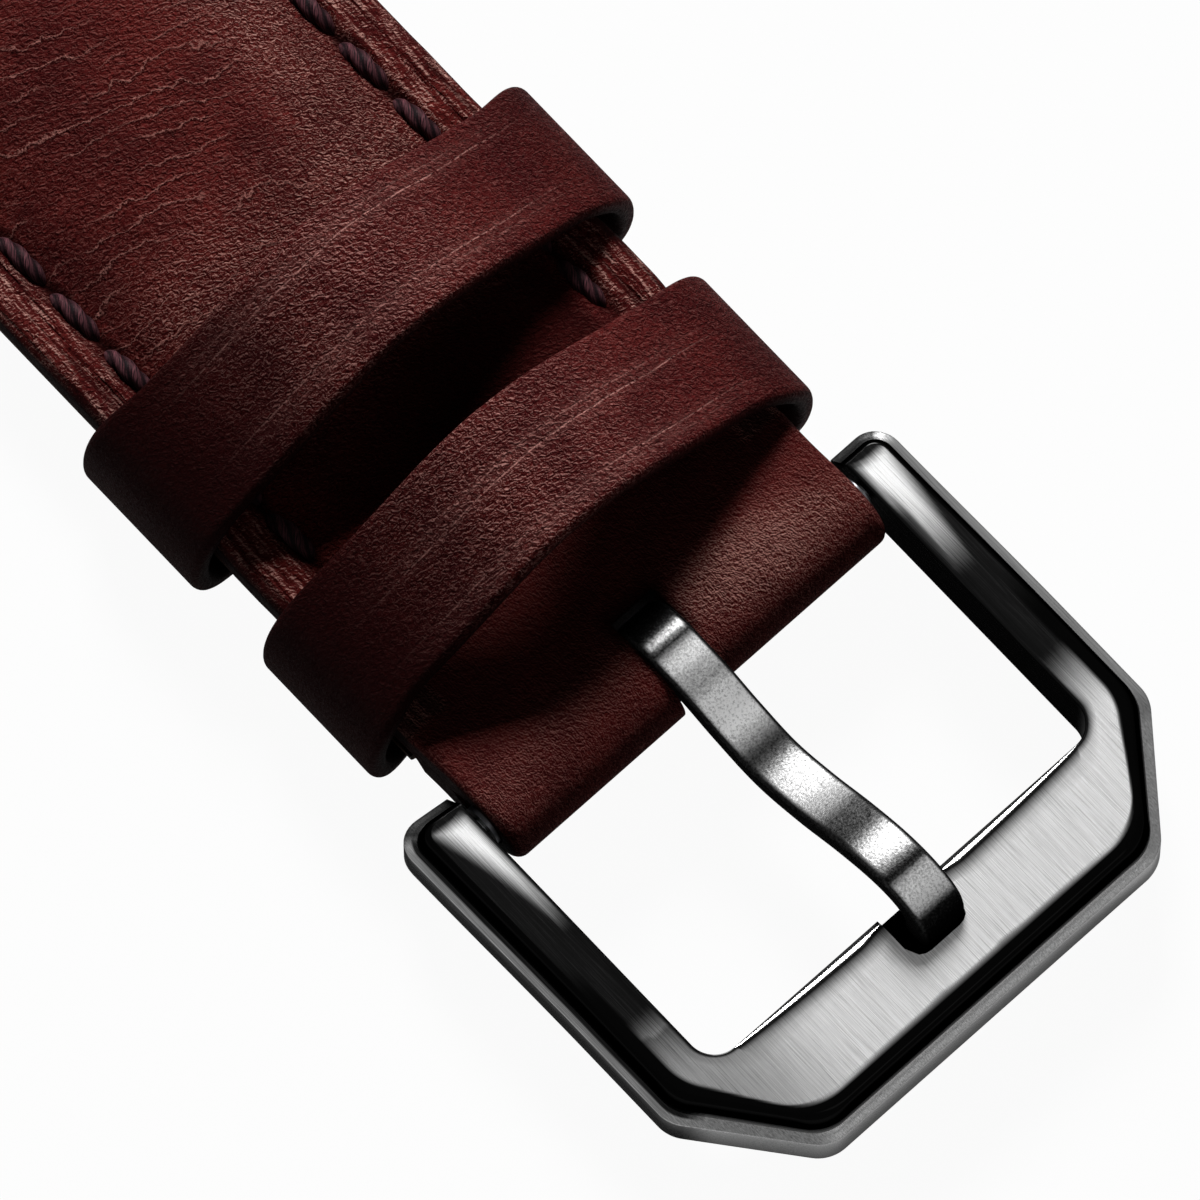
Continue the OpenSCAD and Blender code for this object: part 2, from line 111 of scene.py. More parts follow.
# %% Small curves
def smooth(start, stop, t):
    """0 at start and 1 at stop, and 3k squared less 2k cubed in between, where k is the share of the way."""
    k = np.clip((t - start) / (stop - start), 0, 1)
    return k * k * (3 - 2 * k)


def rough(x, y, seed):
    """Value noise: a repeatable random height at each whole-numbered point, blended by smooth steps between them."""
    table = np.random.default_rng(seed).random((97, 89))
    i, j = np.floor(x).astype(int), np.floor(y).astype(int)
    u, v = x - i, y - j
    u, v = u * u * (3 - 2 * u), v * v * (3 - 2 * v)
    near = table[i % 97, j % 89] * (1 - u) + table[(i + 1) % 97, j % 89] * u
    far = table[i % 97, (j + 1) % 89] * (1 - u) + table[(i + 1) % 97, (j + 1) % 89] * u
    return near * (1 - v) + far * v


def arc(r, start, stop, n):
    """n + 1 points on a circle of radius r about the origin, from one angle to another, in degrees."""
    a = np.radians(np.linspace(start, stop, n + 1))
    return np.stack([r * np.cos(a), r * np.sin(a)], -1)


def outward(line):
    """Unit normals on the left of a line of points, from the central difference of its neighbours."""
    step = np.gradient(line, axis=0)
    step /= np.linalg.norm(step, axis=1, keepdims=True) + 1e-12
    return np.stack([-step[:, 1], step[:, 0]], -1)


def spread(line, n):
    """The same line through n points at an even distance along it."""
    gone = np.concatenate([[0], np.cumsum(np.linalg.norm(np.diff(line, axis=0), axis=1))])
    at = np.linspace(0, gone[-1], n)
    return np.stack([np.interp(at, gone, line[:, k]) for k in range(line.shape[1])], -1)


# %% Grids of faces
def grid_faces(n, m, round_rows=False, round_columns=False):
    """Quads of an n by m grid of points; a round grid joins its last row or column to its first."""
    ids = np.arange(n * m).reshape(n, m)
    if round_rows:
        ids = np.concatenate([ids, ids[:1]], 0)
    if round_columns:
        ids = np.concatenate([ids, ids[:, :1]], 1)
    return np.stack([ids[:-1, :-1], ids[1:, :-1], ids[1:, 1:], ids[:-1, 1:]], -1).reshape(-1, 4)


def two_skins(outer, inner, keep=None):
    """A closed sheet between two grids: quads of the kept cells on both, and a wall along each border of them."""
    n, m = outer.shape[:2]
    ids = np.arange(n * m).reshape(n, m)
    keep = np.ones((n - 1, m - 1), bool) if keep is None else keep
    a, b, c, d = ids[:-1, :-1], ids[1:, :-1], ids[1:, 1:], ids[:-1, 1:]
    faces = [np.stack([a, b, c, d], -1)[keep], np.stack([a, d, c, b], -1)[keep] + n * m]
    framed = np.pad(keep, 1)
    beyond = framed[:-2, 1:-1], framed[2:, 1:-1], framed[1:-1, :-2], framed[1:-1, 2:]
    for (p, q), there in zip(((a, d), (c, b), (b, a), (d, c)), beyond):
        p, q = p[keep & ~there], q[keep & ~there]
        faces.append(np.stack([p, q, q + n * m, p + n * m], -1))
    return np.concatenate([outer.reshape(-1, 3), inner.reshape(-1, 3)]), np.concatenate(faces)


# %% A piece from points and faces
def new_piece(name, points, quads, material, body, nodes, slot, at=(0, 0, 0), turned=False, uv=None, sharp=38, **values):
    """One finished piece: points in millimetres are turned half round if asked, moved to their place and made metres.
    uv gives each point its place on the leather, and each named value becomes a number stored at every point."""
    placed = (points * [-1, -1, 1] if turned else points) + np.array(at)
    mesh = bpy.data.meshes.new(name)
    mesh.vertices.add(len(placed))
    mesh.vertices.foreach_set("co", (placed / 1000).astype(np.float32).ravel())
    mesh.loops.add(quads.size)
    mesh.loops.foreach_set("vertex_index", quads.astype(np.int32).ravel())
    mesh.polygons.add(len(quads))
    mesh.polygons.foreach_set("loop_start", np.arange(0, quads.size, 4, dtype=np.int32))
    mesh.update(calc_edges=True)
    if uv is not None:
        mesh.uv_layers.new(name="surface").data.foreach_set("uv", uv[quads.ravel()].astype(np.float32).ravel())
    for key, value in values.items():
        mesh.attributes.new(key, "FLOAT", "POINT").data.foreach_set("value", value.astype(np.float32).ravel())
    sheet = bmesh.new()
    sheet.from_mesh(mesh)
    bmesh.ops.remove_doubles(sheet, verts=sheet.verts, dist=2e-7)
    bmesh.ops.dissolve_degenerate(sheet, edges=sheet.edges, dist=1e-8)
    sheet.to_mesh(mesh)
    sheet.free()
    mesh.shade_smooth()
    mesh.set_sharp_from_angle(angle=math.radians(sharp))
    mesh.materials.append(material)
    piece = bpy.data.objects.new(name, mesh)
    bpy.context.scene.collection.objects.link(piece)
    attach(piece, body)
    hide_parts(*nodes)
    print(name, len(mesh.polygons), "faces")
    return piece


# %% [markdown]
# ## Camera
#
# The photograph looks down on the buckle end from high up, turned so that the strap runs from the top left to the
# bottom right. A long lens keeps the far and the near edge of the strap nearly parallel.

# %% Camera
azimuth, elevation, reach = math.radians(47.4), math.radians(72.8), 0.915
aim = Vector((bar[0] - 3.79, -0.293, bar[2] - 0.38)) / 1000
back = Vector((math.sin(azimuth) * math.cos(elevation), -math.cos(azimuth) * math.cos(elevation), math.sin(elevation)))
camera = bpy.data.objects.new("camera", bpy.data.cameras.new("camera"))
camera.data.lens, camera.data.sensor_width = 700, 36
camera.data.clip_start = 0.05
camera.location = aim + back * reach
camera.rotation_euler = (-back).to_track_quat("-Z", "Y").to_euler()
bpy.context.scene.collection.objects.link(camera)
bpy.context.scene.camera = camera
bpy.context.scene.view_settings.view_transform = "Standard"
print("camera", [round(v, 4) for v in camera.location])

# %% [markdown]
# ## Material tools
#
# A material is a small machine of nodes. The helper below adds one node, links each socket that is handed to it and
# sets each number, so that a material reads like a recipe.


# %% One shader node
def add(tree, kind, *plugs, props=None, **named):
    """Adds a shader node. Plugs fill its inputs in order, named ones by name; sockets are linked, numbers are set."""
    made = tree.nodes.new("ShaderNode" + kind)
    for key, value in (props or {}).items():
        setattr(made, key, value)
    pairs = list(zip(made.inputs, plugs)) + [(made.inputs[key.replace("_", " ")], v) for key, v in named.items()]
    for socket, value in pairs:
        if isinstance(value, bpy.types.NodeSocket):
            tree.links.new(value, socket)
        elif value is not None:
            socket.default_value = value
    return made


def maths(tree, operation, *values):
    """One arithmetic step on numbers or sockets."""
    return add(tree, "Math", *values, props={"operation": operation}).outputs[0]


def ramp(tree, value, low, high, out_low=0.0, out_high=1.0):
    """Maps low to high on to out_low to out_high, with a smooth step, and holds it at both ends."""
    props = {"interpolation_type": "SMOOTHSTEP"}
    return add(tree, "MapRange", Value=value, From_Min=low, From_Max=high, To_Min=out_low, To_Max=out_high,
               props=props).outputs[0]


def tint(tree, share, first, second, mode="MIX"):
    """Mixes two colours, by a share from 0 to 1."""
    mix = add(tree, "Mix", props={"data_type": "RGBA", "blend_type": mode})
    for socket, value in ((mix.inputs[0], share), (mix.inputs[6], first), (mix.inputs[7], second)):
        if isinstance(value, bpy.types.NodeSocket):
            tree.links.new(value, socket)
        else:
            socket.default_value = value if socket.type == "VALUE" else (*value, 1)
    return mix.outputs[2]


def noise(tree, where, size, detail=2.0, roughness=0.5, stretch=None, distortion=0.0):
    """Noise whose lumps are size metres across, or stretched by three factors."""
    if stretch:
        where = add(tree, "Mapping", Vector=where, Scale=stretch).outputs[0]
    return add(tree, "TexNoise", Vector=where, Scale=1 / size, Detail=detail, Roughness=roughness,
               Distortion=distortion).outputs[0]


def relief(tree, where, shift, gain, *sizes, **named):
    """Noise as raking light shows it: how much it falls over a small step towards the lamp, put about a half."""
    beyond = add(tree, "VectorMath", where, shift, props={"operation": "ADD"}).outputs[0]
    fall = maths(tree, "SUBTRACT", noise(tree, where, *sizes, **named), noise(tree, beyond, *sizes, **named))
    return maths(tree, "MULTIPLY_ADD", fall, gain, 0.5)


def new_group(name, inputs, outputs):
    """An empty node group with named number, colour or vector sockets."""
    tree = bpy.data.node_groups.new(name, "ShaderNodeTree")
    for way, sockets in (("INPUT", inputs), ("OUTPUT", outputs)):
        for key, value in sockets.items():
            kind = {float: "NodeSocketFloat", tuple: "NodeSocketColor", type(None): "NodeSocketVector"}[type(value)]
            made = tree.interface.new_socket(name=key, in_out=way, socket_type=kind)
            if way == "INPUT" and value is not None:
                made.default_value = value if isinstance(value, float) else (*value, 1)
    return tree, tree.nodes.new("NodeGroupInput").outputs, tree.nodes.new("NodeGroupOutput").inputs


def place(tree, group, **named):
    """Puts a node group into a material, with its values."""
    made = tree.nodes.new("ShaderNodeGroup")
    made.node_tree = group
    for key, value in named.items():
        socket = made.inputs[key.replace("_", " ")]
        if isinstance(value, bpy.types.NodeSocket):
            tree.links.new(value, socket)
        else:
            socket.default_value = value if not isinstance(value, tuple) else (*value, 1)
    return made.outputs


def new_material(name):
    """A material with only a Principled shader in it, and its tree."""
    material = bpy.data.materials.new(name)
    material.use_nodes = True
    tree = material.node_tree
    return material, tree, tree.nodes["Principled BSDF"]


# %% [markdown]
# ## Leather
#
# Waxed leather shows three things from near by: a pebbled grain of pores about a quarter of a millimetre apart, a
# cloudy tone where the dye took more or less, and fine pale creases where it has been bent. The grain and the clouds
# are the same on every leather here, so they are one group. The creases are thin lines a set spacing apart, bent by
# stretched noise and laid across the strap.

# %% Grain that every leather shares
grain, g_in, g_out = new_group(
    "leather grain", {"Vector": None, "Pore size": 0.00028}, {"Height": 0.0, "Cloud": 0.0, "Fleck": 0.0})
where = g_in["Vector"]
per_metre = maths(grain, "DIVIDE", 1.0, g_in["Pore size"])
bent = add(grain, "TexNoise", Vector=where, Scale=1500.0, Detail=1.0).outputs["Color"]
bent = add(grain, "VectorMath", bent, (0.5, 0.5, 0.5), props={"operation": "SUBTRACT"}).outputs[0]
bent = add(grain, "VectorMath", bent, Scale=0.0002, props={"operation": "SCALE"}).outputs[0]
bent = add(grain, "VectorMath", where, bent, props={"operation": "ADD"}).outputs[0]
pores = add(grain, "TexVoronoi", Vector=bent, Scale=per_metre, props={"feature": "SMOOTH_F1"}).outputs["Distance"]
turned = add(grain, "VectorRotate", Vector=where, Angle=0.38, props={"rotation_type": "Z_AXIS"}).outputs[0]
fine = noise(grain, turned, 0.00015, 4.0, 0.62, stretch=(1, 0.6, 0.8), distortion=0.9)
lumps = noise(grain, where, 0.0007, 2.0)
# fleck: the fine grain as raking light from the key lamp shows it, used for painted glints and painted shade in the
# colour
fleck = relief(grain, turned, (-0.000035, 0.00003, 0.0), 1.6, 0.00015, 4.0, 0.62, stretch=(1, 0.6, 0.8), distortion=0.9)
height = maths(grain, "MULTIPLY_ADD", pores, -0.5, maths(grain, "MULTIPLY_ADD", fine, 1.6, maths(grain, "MULTIPLY", lumps, 0.3)))
cloud = add(grain, "TexNoise", Vector=where, Scale=260.0, Detail=5.0, Roughness=0.6).outputs[0]
for socket, value in (("Height", height), ("Cloud", cloud), ("Fleck", fleck)):
    grain.links.new(value, g_out[socket])
print("group", grain.name, len(grain.nodes), "nodes")

# %% Pale creases that run across a leather
creases, c_in, c_out = new_group(
    "creases", {"Vector": None, "Spacing": 0.001, "Width": 0.000045, "Bend": 1.9}, {"Line": 0.0, "Shadow": 0.0})
along = add(creases, "VectorRotate", Vector=c_in["Vector"], Angle=0.38, props={"rotation_type": "Z_AXIS"}).outputs[0]
ramp_x = maths(creases, "DIVIDE", add(creases, "SeparateXYZ", along).outputs[0], c_in["Spacing"])
wide = noise(creases, along, 0.0055, 2.0, stretch=(1, 0.6, 1))
tight = noise(creases, along, 0.001, 5.0, 0.7)
bent = maths(creases, "MULTIPLY_ADD", maths(creases, "SUBTRACT", wide, 0.5), maths(creases, "MULTIPLY", c_in["Bend"], 2.4),
             maths(creases, "MULTIPLY_ADD", maths(creases, "SUBTRACT", tight, 0.5), 1.2, ramp_x))
from_line = maths(creases, "MULTIPLY", maths(creases, "SUBTRACT", maths(creases, "FRACT", bent), 0.5), c_in["Spacing"])
# A painted shadow runs beside each crease line, on its side away from the key lamp.
below = maths(creases, "MULTIPLY_ADD", c_in["Width"], -1.8, from_line)
fades = ramp(creases, noise(creases, along, 0.0026, 3.0, stretch=(1, 0.5, 1)), 0.43, 0.57)
for socket, middle, strength in (("Line", from_line, 0.95), ("Shadow", below, 0.85)):
    off = maths(creases, "ABSOLUTE", middle)
    line = add(creases, "MapRange", Value=off, From_Min=0.0, From_Max=c_in["Width"], To_Min=strength, To_Max=0.0).outputs[0]
    creases.links.new(maths(creases, "MULTIPLY", line, fades), c_out[socket])
print("group", creases.name, len(creases.nodes), "nodes")


# %% Finished leathers
def leather(name, dark, bright, pale, pore=0.00022, gloss=0.6, depth=0.00014, chalk=1.25, loops=False):
    """Clouds of a dark and a bright dye under the grain, which is painted as raking light shows it: painted glints and
    painted shade. Numbers stored on the surface say where there are margins with streaks and more glints, creases,
    combed fibres by the fold, dark edge paint with painted shade in the seam and round the slot, painted shade between
    the keepers and at their ends, and a painted sheen."""
    material, tree, shader = new_material(name)
    where = add(tree, "TexCoord").outputs["Object"]
    flow = add(tree, "UVMap", props={"uv_map": "surface"}).outputs[0]
    stored = {key: add(tree, "Attribute", props={"attribute_name": key}).outputs["Fac"]
              for key in ("margin", "worn", "creased", "combed", "bloom", "burnished", "first_score", "second_score")}
    margin, combed = stored["margin"], stored["combed"]
    g = place(tree, grain, Vector=where, Pore_size=pore)
    colour = tint(tree, ramp(tree, g["Cloud"], 0.3, 0.7), dark, bright)
    strand = noise(tree, flow, 0.00021, 4.0, 0.62, stretch=(0.13, 1, 1))
    # hair: the combed fibres by the fold, drawn as raking light shows them.
    hair = relief(tree, where, (-0.00003, 0.00003, 0.0), 2.3, 0.00011, 4.0, 0.65, stretch=(0.6, 0.9, 0.7), distortion=1.2)
    grained = tint(tree, maths(tree, "MULTIPLY", combed, 0.75), tint(tree, maths(tree, "MULTIPLY", margin, 0.6), g["Fleck"], strand), hair)
    grained = add(tree, "SeparateColor", grained).outputs[0]
    # Painted glints: pale flecks where the raked grain catches the key lamp, more of them where there is painted sheen,
    # in the margins and on the combed fibres.
    speck = ramp(tree, grained, 0.5, 0.72, 0.0, 0.42)
    hazy = maths(tree, "MULTIPLY_ADD", maths(tree, "MULTIPLY", stored["bloom"], ramp(tree, g["Cloud"], 0.25, 0.6, 0.4, 1.0)), 1.7, 0.4)
    hazy = maths(tree, "MULTIPLY_ADD", combed, 0.35, maths(tree, "MULTIPLY_ADD", margin, 4.6, hazy))
    speck = maths(tree, "MULTIPLY", speck, hazy)
    # The painted glints are whiter where there is painted sheen and in the margins.
    frost = maths(tree, "MAXIMUM", stored["bloom"], margin)
    colour = tint(tree, speck, colour, tint(tree, frost, pale, (pale[0], pale[1] * chalk, pale[2] * chalk)))
    # Painted shade on the sides of the grain turned away from the key lamp.
    colour = tint(tree, ramp(tree, grained, 0.52, 0.3, 0.0, 0.85), colour, tuple(v * 0.3 for v in dark))
    furrow = maths(tree, "MULTIPLY", ramp(tree, noise(tree, flow, 0.0008, 3.0, 0.6, stretch=(0.07, 1, 1)), 0.5, 0.4), margin)
    # Painted shade in the furrows of the margins.
    colour = tint(tree, maths(tree, "MULTIPLY", furrow, 0.75), colour, tuple(v * 0.4 for v in dark))
    if loops:
        wobble = maths(tree, "SUBTRACT", noise(tree, flow, 0.006, 4.0, 0.55), 0.5)
        broken = ramp(tree, noise(tree, where, 0.00016, 3.0, 0.6), 0.4, 0.52)
        line = None
        for key, beside, strength in (("first_score", 0.0, 1.0), ("first_score", 0.45, 0.4), ("second_score", 0.0, 0.85),
                                      ("second_score", -0.38, 0.3)):
            off = maths(tree, "ABSOLUTE", maths(tree, "MULTIPLY_ADD", wobble, 0.4, maths(tree, "ADD", stored[key], beside)))
            dashes = noise(tree, flow, 0.0028 + 0.001 * beside, 2.0, stretch=(1, 0.2, 1))
            one = maths(tree, "MULTIPLY", ramp(tree, off, 0.012, 0.05, strength, 0.0), ramp(tree, dashes, 0.36, 0.5, 0.3, 1.0))
            one = maths(tree, "MAXIMUM", one, ramp(tree, off, 0.02, 0.5, 0.07, 0.0))
            line = one if line is None else maths(tree, "MAXIMUM", line, one)
        line = maths(tree, "MULTIPLY", line, maths(tree, "MULTIPLY", broken, stored["creased"]))
    else:
        crease = place(tree, creases, Vector=where)
        shadow = maths(tree, "MULTIPLY", crease["Shadow"], stored["creased"])
        colour = tint(tree, shadow, colour, tuple(v * 0.2 for v in dark))
        line = maths(tree, "MULTIPLY", crease["Line"], stored["creased"])
    colour = tint(tree, line, colour, pale)
    # Painted shade: on the strap between the keepers, and towards the keepers' ends.
    colour = tint(tree, stored["burnished"], colour, (dark[0] * 0.16, dark[1] * 0.1, dark[2] * 0.1))
    # Darkened: dark paint on the cut edges, and painted shade in the seam's groove and round the slot.
    colour = tint(tree, stored["worn"], colour, tuple(v * 0.1 for v in dark))
    tree.links.new(colour, shader.inputs["Base Color"])
    tree.links.new(ramp(tree, grained, 0.35, 0.65, gloss + 0.1, gloss - 0.06), shader.inputs["Roughness"])
    height = maths(tree, "MULTIPLY_ADD", grained, 0.5, maths(tree, "MULTIPLY_ADD", furrow, -1.5, g["Height"]))
    height = maths(tree, "MULTIPLY_ADD", line, 0.5, height)
    bump = add(tree, "Bump", Height=height, Distance=depth, Strength=1.0)
    tree.links.new(bump.outputs[0], shader.inputs["Normal"])
    shader.inputs["Specular IOR Level"].default_value = 0.02
    return material


oxblood = leather("oxblood leather", (0.06, 0.0062, 0.0064), (0.115, 0.0132, 0.0115), (0.46, 0.19, 0.16))
loop_leather = leather("keeper leather", (0.06, 0.006, 0.0068), (0.106, 0.0122, 0.0112), (0.5, 0.23, 0.2),
                       pore=0.00024, chalk=1.08, loops=True)
lining_leather = leather("lining leather", (0.17, 0.08, 0.045), (0.25, 0.13, 0.075), (0.34, 0.2, 0.13),
                         gloss=0.6, depth=0.00004)
print("leathers:", oxblood.name, loop_leather.name, lining_leather.name)

# %% [markdown]
# ## Thread, padding and steel
#
# The thread is waxed and laid in three plies, which the geometry gives it, so its material adds a fuzz of fine fibres
# along the lay and painted shade in the valleys between the plies. The padding is felt. The frame is brushed along the
# strap on its flat tops and polished on its edges; a number stored at each point of the buckle says how polished it is,
# and a second how dark, which is painted reflection and shade.

# %% Thread and padding
thread, tree, shader = new_material("waxed thread")
flow = add(tree, "UVMap", props={"uv_map": "surface"}).outputs[0]
fibre = noise(tree, flow, 0.00006, 3.0, stretch=(0.15, 1, 1))
valley = add(tree, "Attribute", props={"attribute_name": "valley"}).outputs["Fac"]
# The thread's colour is darkened by valley: painted shade between the plies.
ply = maths(tree, "MULTIPLY", ramp(tree, fibre, 0.35, 0.7), maths(tree, "SUBTRACT", 1.0, valley))
tree.links.new(tint(tree, ply, (0.006, 0.0035, 0.0045), (0.13, 0.045, 0.055)),
               shader.inputs["Base Color"])
tree.links.new(ramp(tree, fibre, 0.3, 0.7, 0.62, 0.42), shader.inputs["Roughness"])
tree.links.new(add(tree, "Bump", Height=fibre, Distance=0.00004).outputs[0], shader.inputs["Normal"])
shader.inputs["Specular IOR Level"].default_value = 0.06

felt, tree, shader = new_material("felt padding")
where = add(tree, "TexCoord").outputs["Object"]
fuzz = noise(tree, where, 0.0004, 5.0, 0.7, distortion=1.0)
tree.links.new(tint(tree, ramp(tree, fuzz, 0.3, 0.7), (0.36, 0.26, 0.16), (0.55, 0.43, 0.29)),
               shader.inputs["Base Color"])
tree.links.new(ramp(tree, fuzz, 0.3, 0.7, 0.95, 0.8), shader.inputs["Roughness"])
tree.links.new(add(tree, "Bump", Height=fuzz, Distance=0.0002).outputs[0], shader.inputs["Normal"])
print("soft materials:", thread.name, felt.name)

# %% Steel
scratch, s_in, s_out = new_group("brushing", {"Vector": None, "Length": 0.003, "Width": 0.00005}, {"Streak": 0.0})
stretched = add(scratch, "SeparateXYZ", s_in["Vector"]).outputs
stretched = add(scratch, "CombineXYZ", maths(scratch, "DIVIDE", stretched[0], s_in["Length"]),
                maths(scratch, "DIVIDE", stretched[1], s_in["Width"]),
                maths(scratch, "DIVIDE", stretched[2], s_in["Width"])).outputs[0]
streaks = add(scratch, "TexNoise", Vector=stretched, Scale=1.0, Detail=4.0, Roughness=0.65).outputs[0]
scratch.links.new(streaks, s_out["Streak"])


def steel(name, bright, dark, satin, polish, streak_l=0.0025, streak_w=0.00004, depth=0.000004, grain_size=None):
    """Steel that goes from bright to dark by the number 'dark' at each point, which paints its dark reflections and
    shade, and from satin to polished roughness by the number 'polish'; fine streaks or a blasted grain break up both."""
    material, tree, shader = new_material(name)
    where = add(tree, "TexCoord").outputs["Object"]
    if grain_size:
        mark = noise(tree, where, grain_size, 2.0, 0.7)
    else:
        mark = place(tree, scratch, Vector=where, Length=streak_l, Width=streak_w)["Streak"]
    shade = add(tree, "Attribute", props={"attribute_name": "dark"}).outputs["Fac"]
    polished = add(tree, "Attribute", props={"attribute_name": "polish"}).outputs["Fac"]
    broken = maths(tree, "MULTIPLY", maths(tree, "SUBTRACT", mark, 0.5), maths(tree, "SUBTRACT", 1.0, polished))
    edge = maths(tree, "MULTIPLY_ADD", broken, maths(tree, "MULTIPLY_ADD", shade, -2.42, 2.5), shade)
    colour = tint(tree, add(tree, "Clamp", edge).outputs[0], bright, dark)
    tree.links.new(colour, shader.inputs["Base Color"])
    tree.links.new(maths(tree, "MULTIPLY_ADD", polished, polish - satin, maths(tree, "MULTIPLY_ADD", broken, 0.25, satin)),
                   shader.inputs["Roughness"])
    bump = add(tree, "Bump", Height=broken, Distance=depth)
    tree.links.new(bump.outputs[0], shader.inputs["Normal"])
    shader.inputs["Metallic"].default_value = 1.0
    shader.inputs["Specular Tint"].default_value = (0.12, 0.12, 0.12, 1)
    return material


brushed = steel("brushed steel", (0.84, 0.84, 0.84), (0.006, 0.006, 0.006), 0.36, 0.14)
blasted = steel("blasted steel", (0.92, 0.92, 0.92), (0.006, 0.006, 0.006), 0.48, 0.3, grain_size=0.0001, depth=0.000012)
print("steels:", brushed.name, blasted.name)

# %% [markdown]
# ## Top leathers
#
# One strip of leather makes the top of each half. It starts as a turned-back end under the strap, goes round the
# bar, runs over the padding, and on the short half goes round the buckle's bar and turns back again. So its outside
# is a grid: one direction follows that path, the other runs across the strap. The outside and the inside follow
# paths of their own, because the strip is pared thin round the bars and glued to itself behind them.
#
# Four things are added to the outside, each as a height: the crown over the padding, the rounding of the long edges,
# the pressed groove of the seam, and a little unevenness by hand.


# %% Path round a bar
def turned_end(tab, n_tab=8, n_butt=10, n_roll=28, n_top=16):
    """Outside and inside of a strip round a bar at x = 0, from the end of its tab, under the bar and over it, to
    butt_at: straight runs, half a circle of radius fold_r outside, and a drop-shaped eye of radius bore_r inside."""
    glue = block_t - skin_t
    flat = np.stack([np.linspace(tab, butt_at, n_tab), np.full(n_tab, lining_t)], -1)
    under = np.stack([np.linspace(butt_at - 0.01, 0, n_butt), np.zeros(n_butt)], -1)
    under[:2, 1] = lining_t, 0.15
    turn = arc(fold_r, -90, -270, n_roll)[1:] + [0, fold_r]
    x = np.linspace(0, butt_at, n_top + 1)[1:]
    over = np.stack([x, block_t + (2 * fold_r - block_t) * (1 - smooth(0, butt_at, x))], -1)
    outside = np.concatenate([flat, under, turn, over])
    pinch = 1.9
    low = np.stack([np.linspace(tab, butt_at, n_tab), np.full(n_tab, glue - 0.02)], -1)
    foot = arc(bore_r, -55, -90, 3) + [0, fold_r]
    reach_in = np.stack([np.linspace(butt_at - 0.01, pinch, n_butt - 3), np.full(n_butt - 3, glue - 0.02)], -1)
    eye = arc(bore_r, -90, -270, n_roll)[1:] + [0, fold_r]
    brow = arc(bore_r, 90, 55, 3)[1:] + [0, fold_r]
    leave = np.stack([np.linspace(pinch, butt_at, n_top - 3), np.full(n_top - 3, glue + 0.02)], -1)
    inside = np.concatenate([low, reach_in, foot[1:], eye, brow, leave])
    return outside, inside


outside, inside = turned_end(lug_tab)
print("a turned end has", len(outside), "stations outside and", len(inside), "inside")


# %% Heights on top of a half
def edge_distance(x, y, pointed):
    """Distance from the rim: to the straight side, and on a pointed half to the two arcs of its end."""
    straight = half_w - np.abs(y)
    if not pointed:
        return straight
    curved = tip_r - np.hypot(x - tip_base, np.abs(y) + tip_r - half_w)
    return np.where(x > tip_base, curved, straight)


def crown(x, flat_end, gone, first=3.5):
    """Share of the full crown along a half: it swells behind the lug bar and fades before the other end."""
    return smooth(first, 9.5, x) * (1 - smooth(flat_end, gone, x))


def seam_groove(x, d, holes):
    """A cosine groove at the seam's distance from the rim, deep under each stitch and shallow at each hole."""
    across = np.cos(np.clip((d - seam_in) / 0.62, -1, 1) * np.pi / 2) ** 2
    phase = (x - holes[0]) / (holes[1] - holes[0])
    near_hole = np.abs(phase - np.round(phase)) * (holes[1] - holes[0])
    along = 1 - 0.75 * np.exp(-((near_hole / 0.36) ** 2))
    pit = 0.3 * np.exp(-((near_hole / 0.3) ** 2) - ((d - seam_in) / 0.26) ** 2)
    run = smooth(holes[0] - 0.9, holes[0] - 0.2, x) * (1 - smooth(holes[-1] + 0.2, holes[-1] + 0.9, x))
    return (groove_d * across * along + pit) * run


def rim_drop(d, r):
    """How far a quarter round of radius r falls at a distance d from the rim."""
    return r - np.sqrt(np.maximum(r * r - np.maximum(r - d, 0) ** 2, 0))


# %% Stations across a half
def across_strap():
    """Lines across a half: close together on the rounded edges and in the grooves, and wider apart on the crown."""
    side = np.concatenate([
        half_w - 0.7 * (1 - np.cos(np.linspace(0, np.pi / 2, 8))),
        np.arange(9.1, 8.45, -0.2), np.arange(8.4, 6.75, -0.12), np.linspace(6.5, 1.18, 12), [0.85, 0.42]])
    side = side[side > 0.2]
    return np.concatenate([-side, [0.0], side[::-1]])


v_lines = across_strap()
v_lines[np.abs(v_lines + 1.18) < 1e-6] = -1.07
print(len(v_lines), "lines across a half")

# %% Top leather of the short half
short_holes = np.linspace(6, 63, 19)


def short_margin(x):
    """Thickness of the stitched margins: a thick block at both ends and thin in between."""
    return margin_t + (block_t - margin_t) * (1 - smooth(7, 10, x) + smooth(53.5, 56.5, x))


def short_top(x, y):
    """Top of the short half away from its bars: margin, plus the crown, less the groove, plus a little unevenness."""
    base = short_margin(x)
    rise = (crown_t - base) * crown(x, 59, 71.5)
    dome = rise * np.clip(1 - (np.abs(y) / 7.1) ** 2.6, 0, 1)
    d = half_w - np.abs(y)
    uneven = 0.1 * (rough(x * 0.9 + 5, y * 0.6 + 9, 3) - 0.5) + 0.05 * (rough(x * 0.5, d * 4.5, 4) - 0.5) * (d < 2)
    pressed = 0.13 * np.exp(-(((d - 1.15 - 0.08 * np.sin(x * 0.7)) / 0.13) ** 2)) * smooth(5, 8, x) * (1 - smooth(66, 70, x))
    return base + dome - seam_groove(x, d, short_holes) + uneven * smooth(2, 6, x) * (1 - smooth(68, 73, x)) - pressed


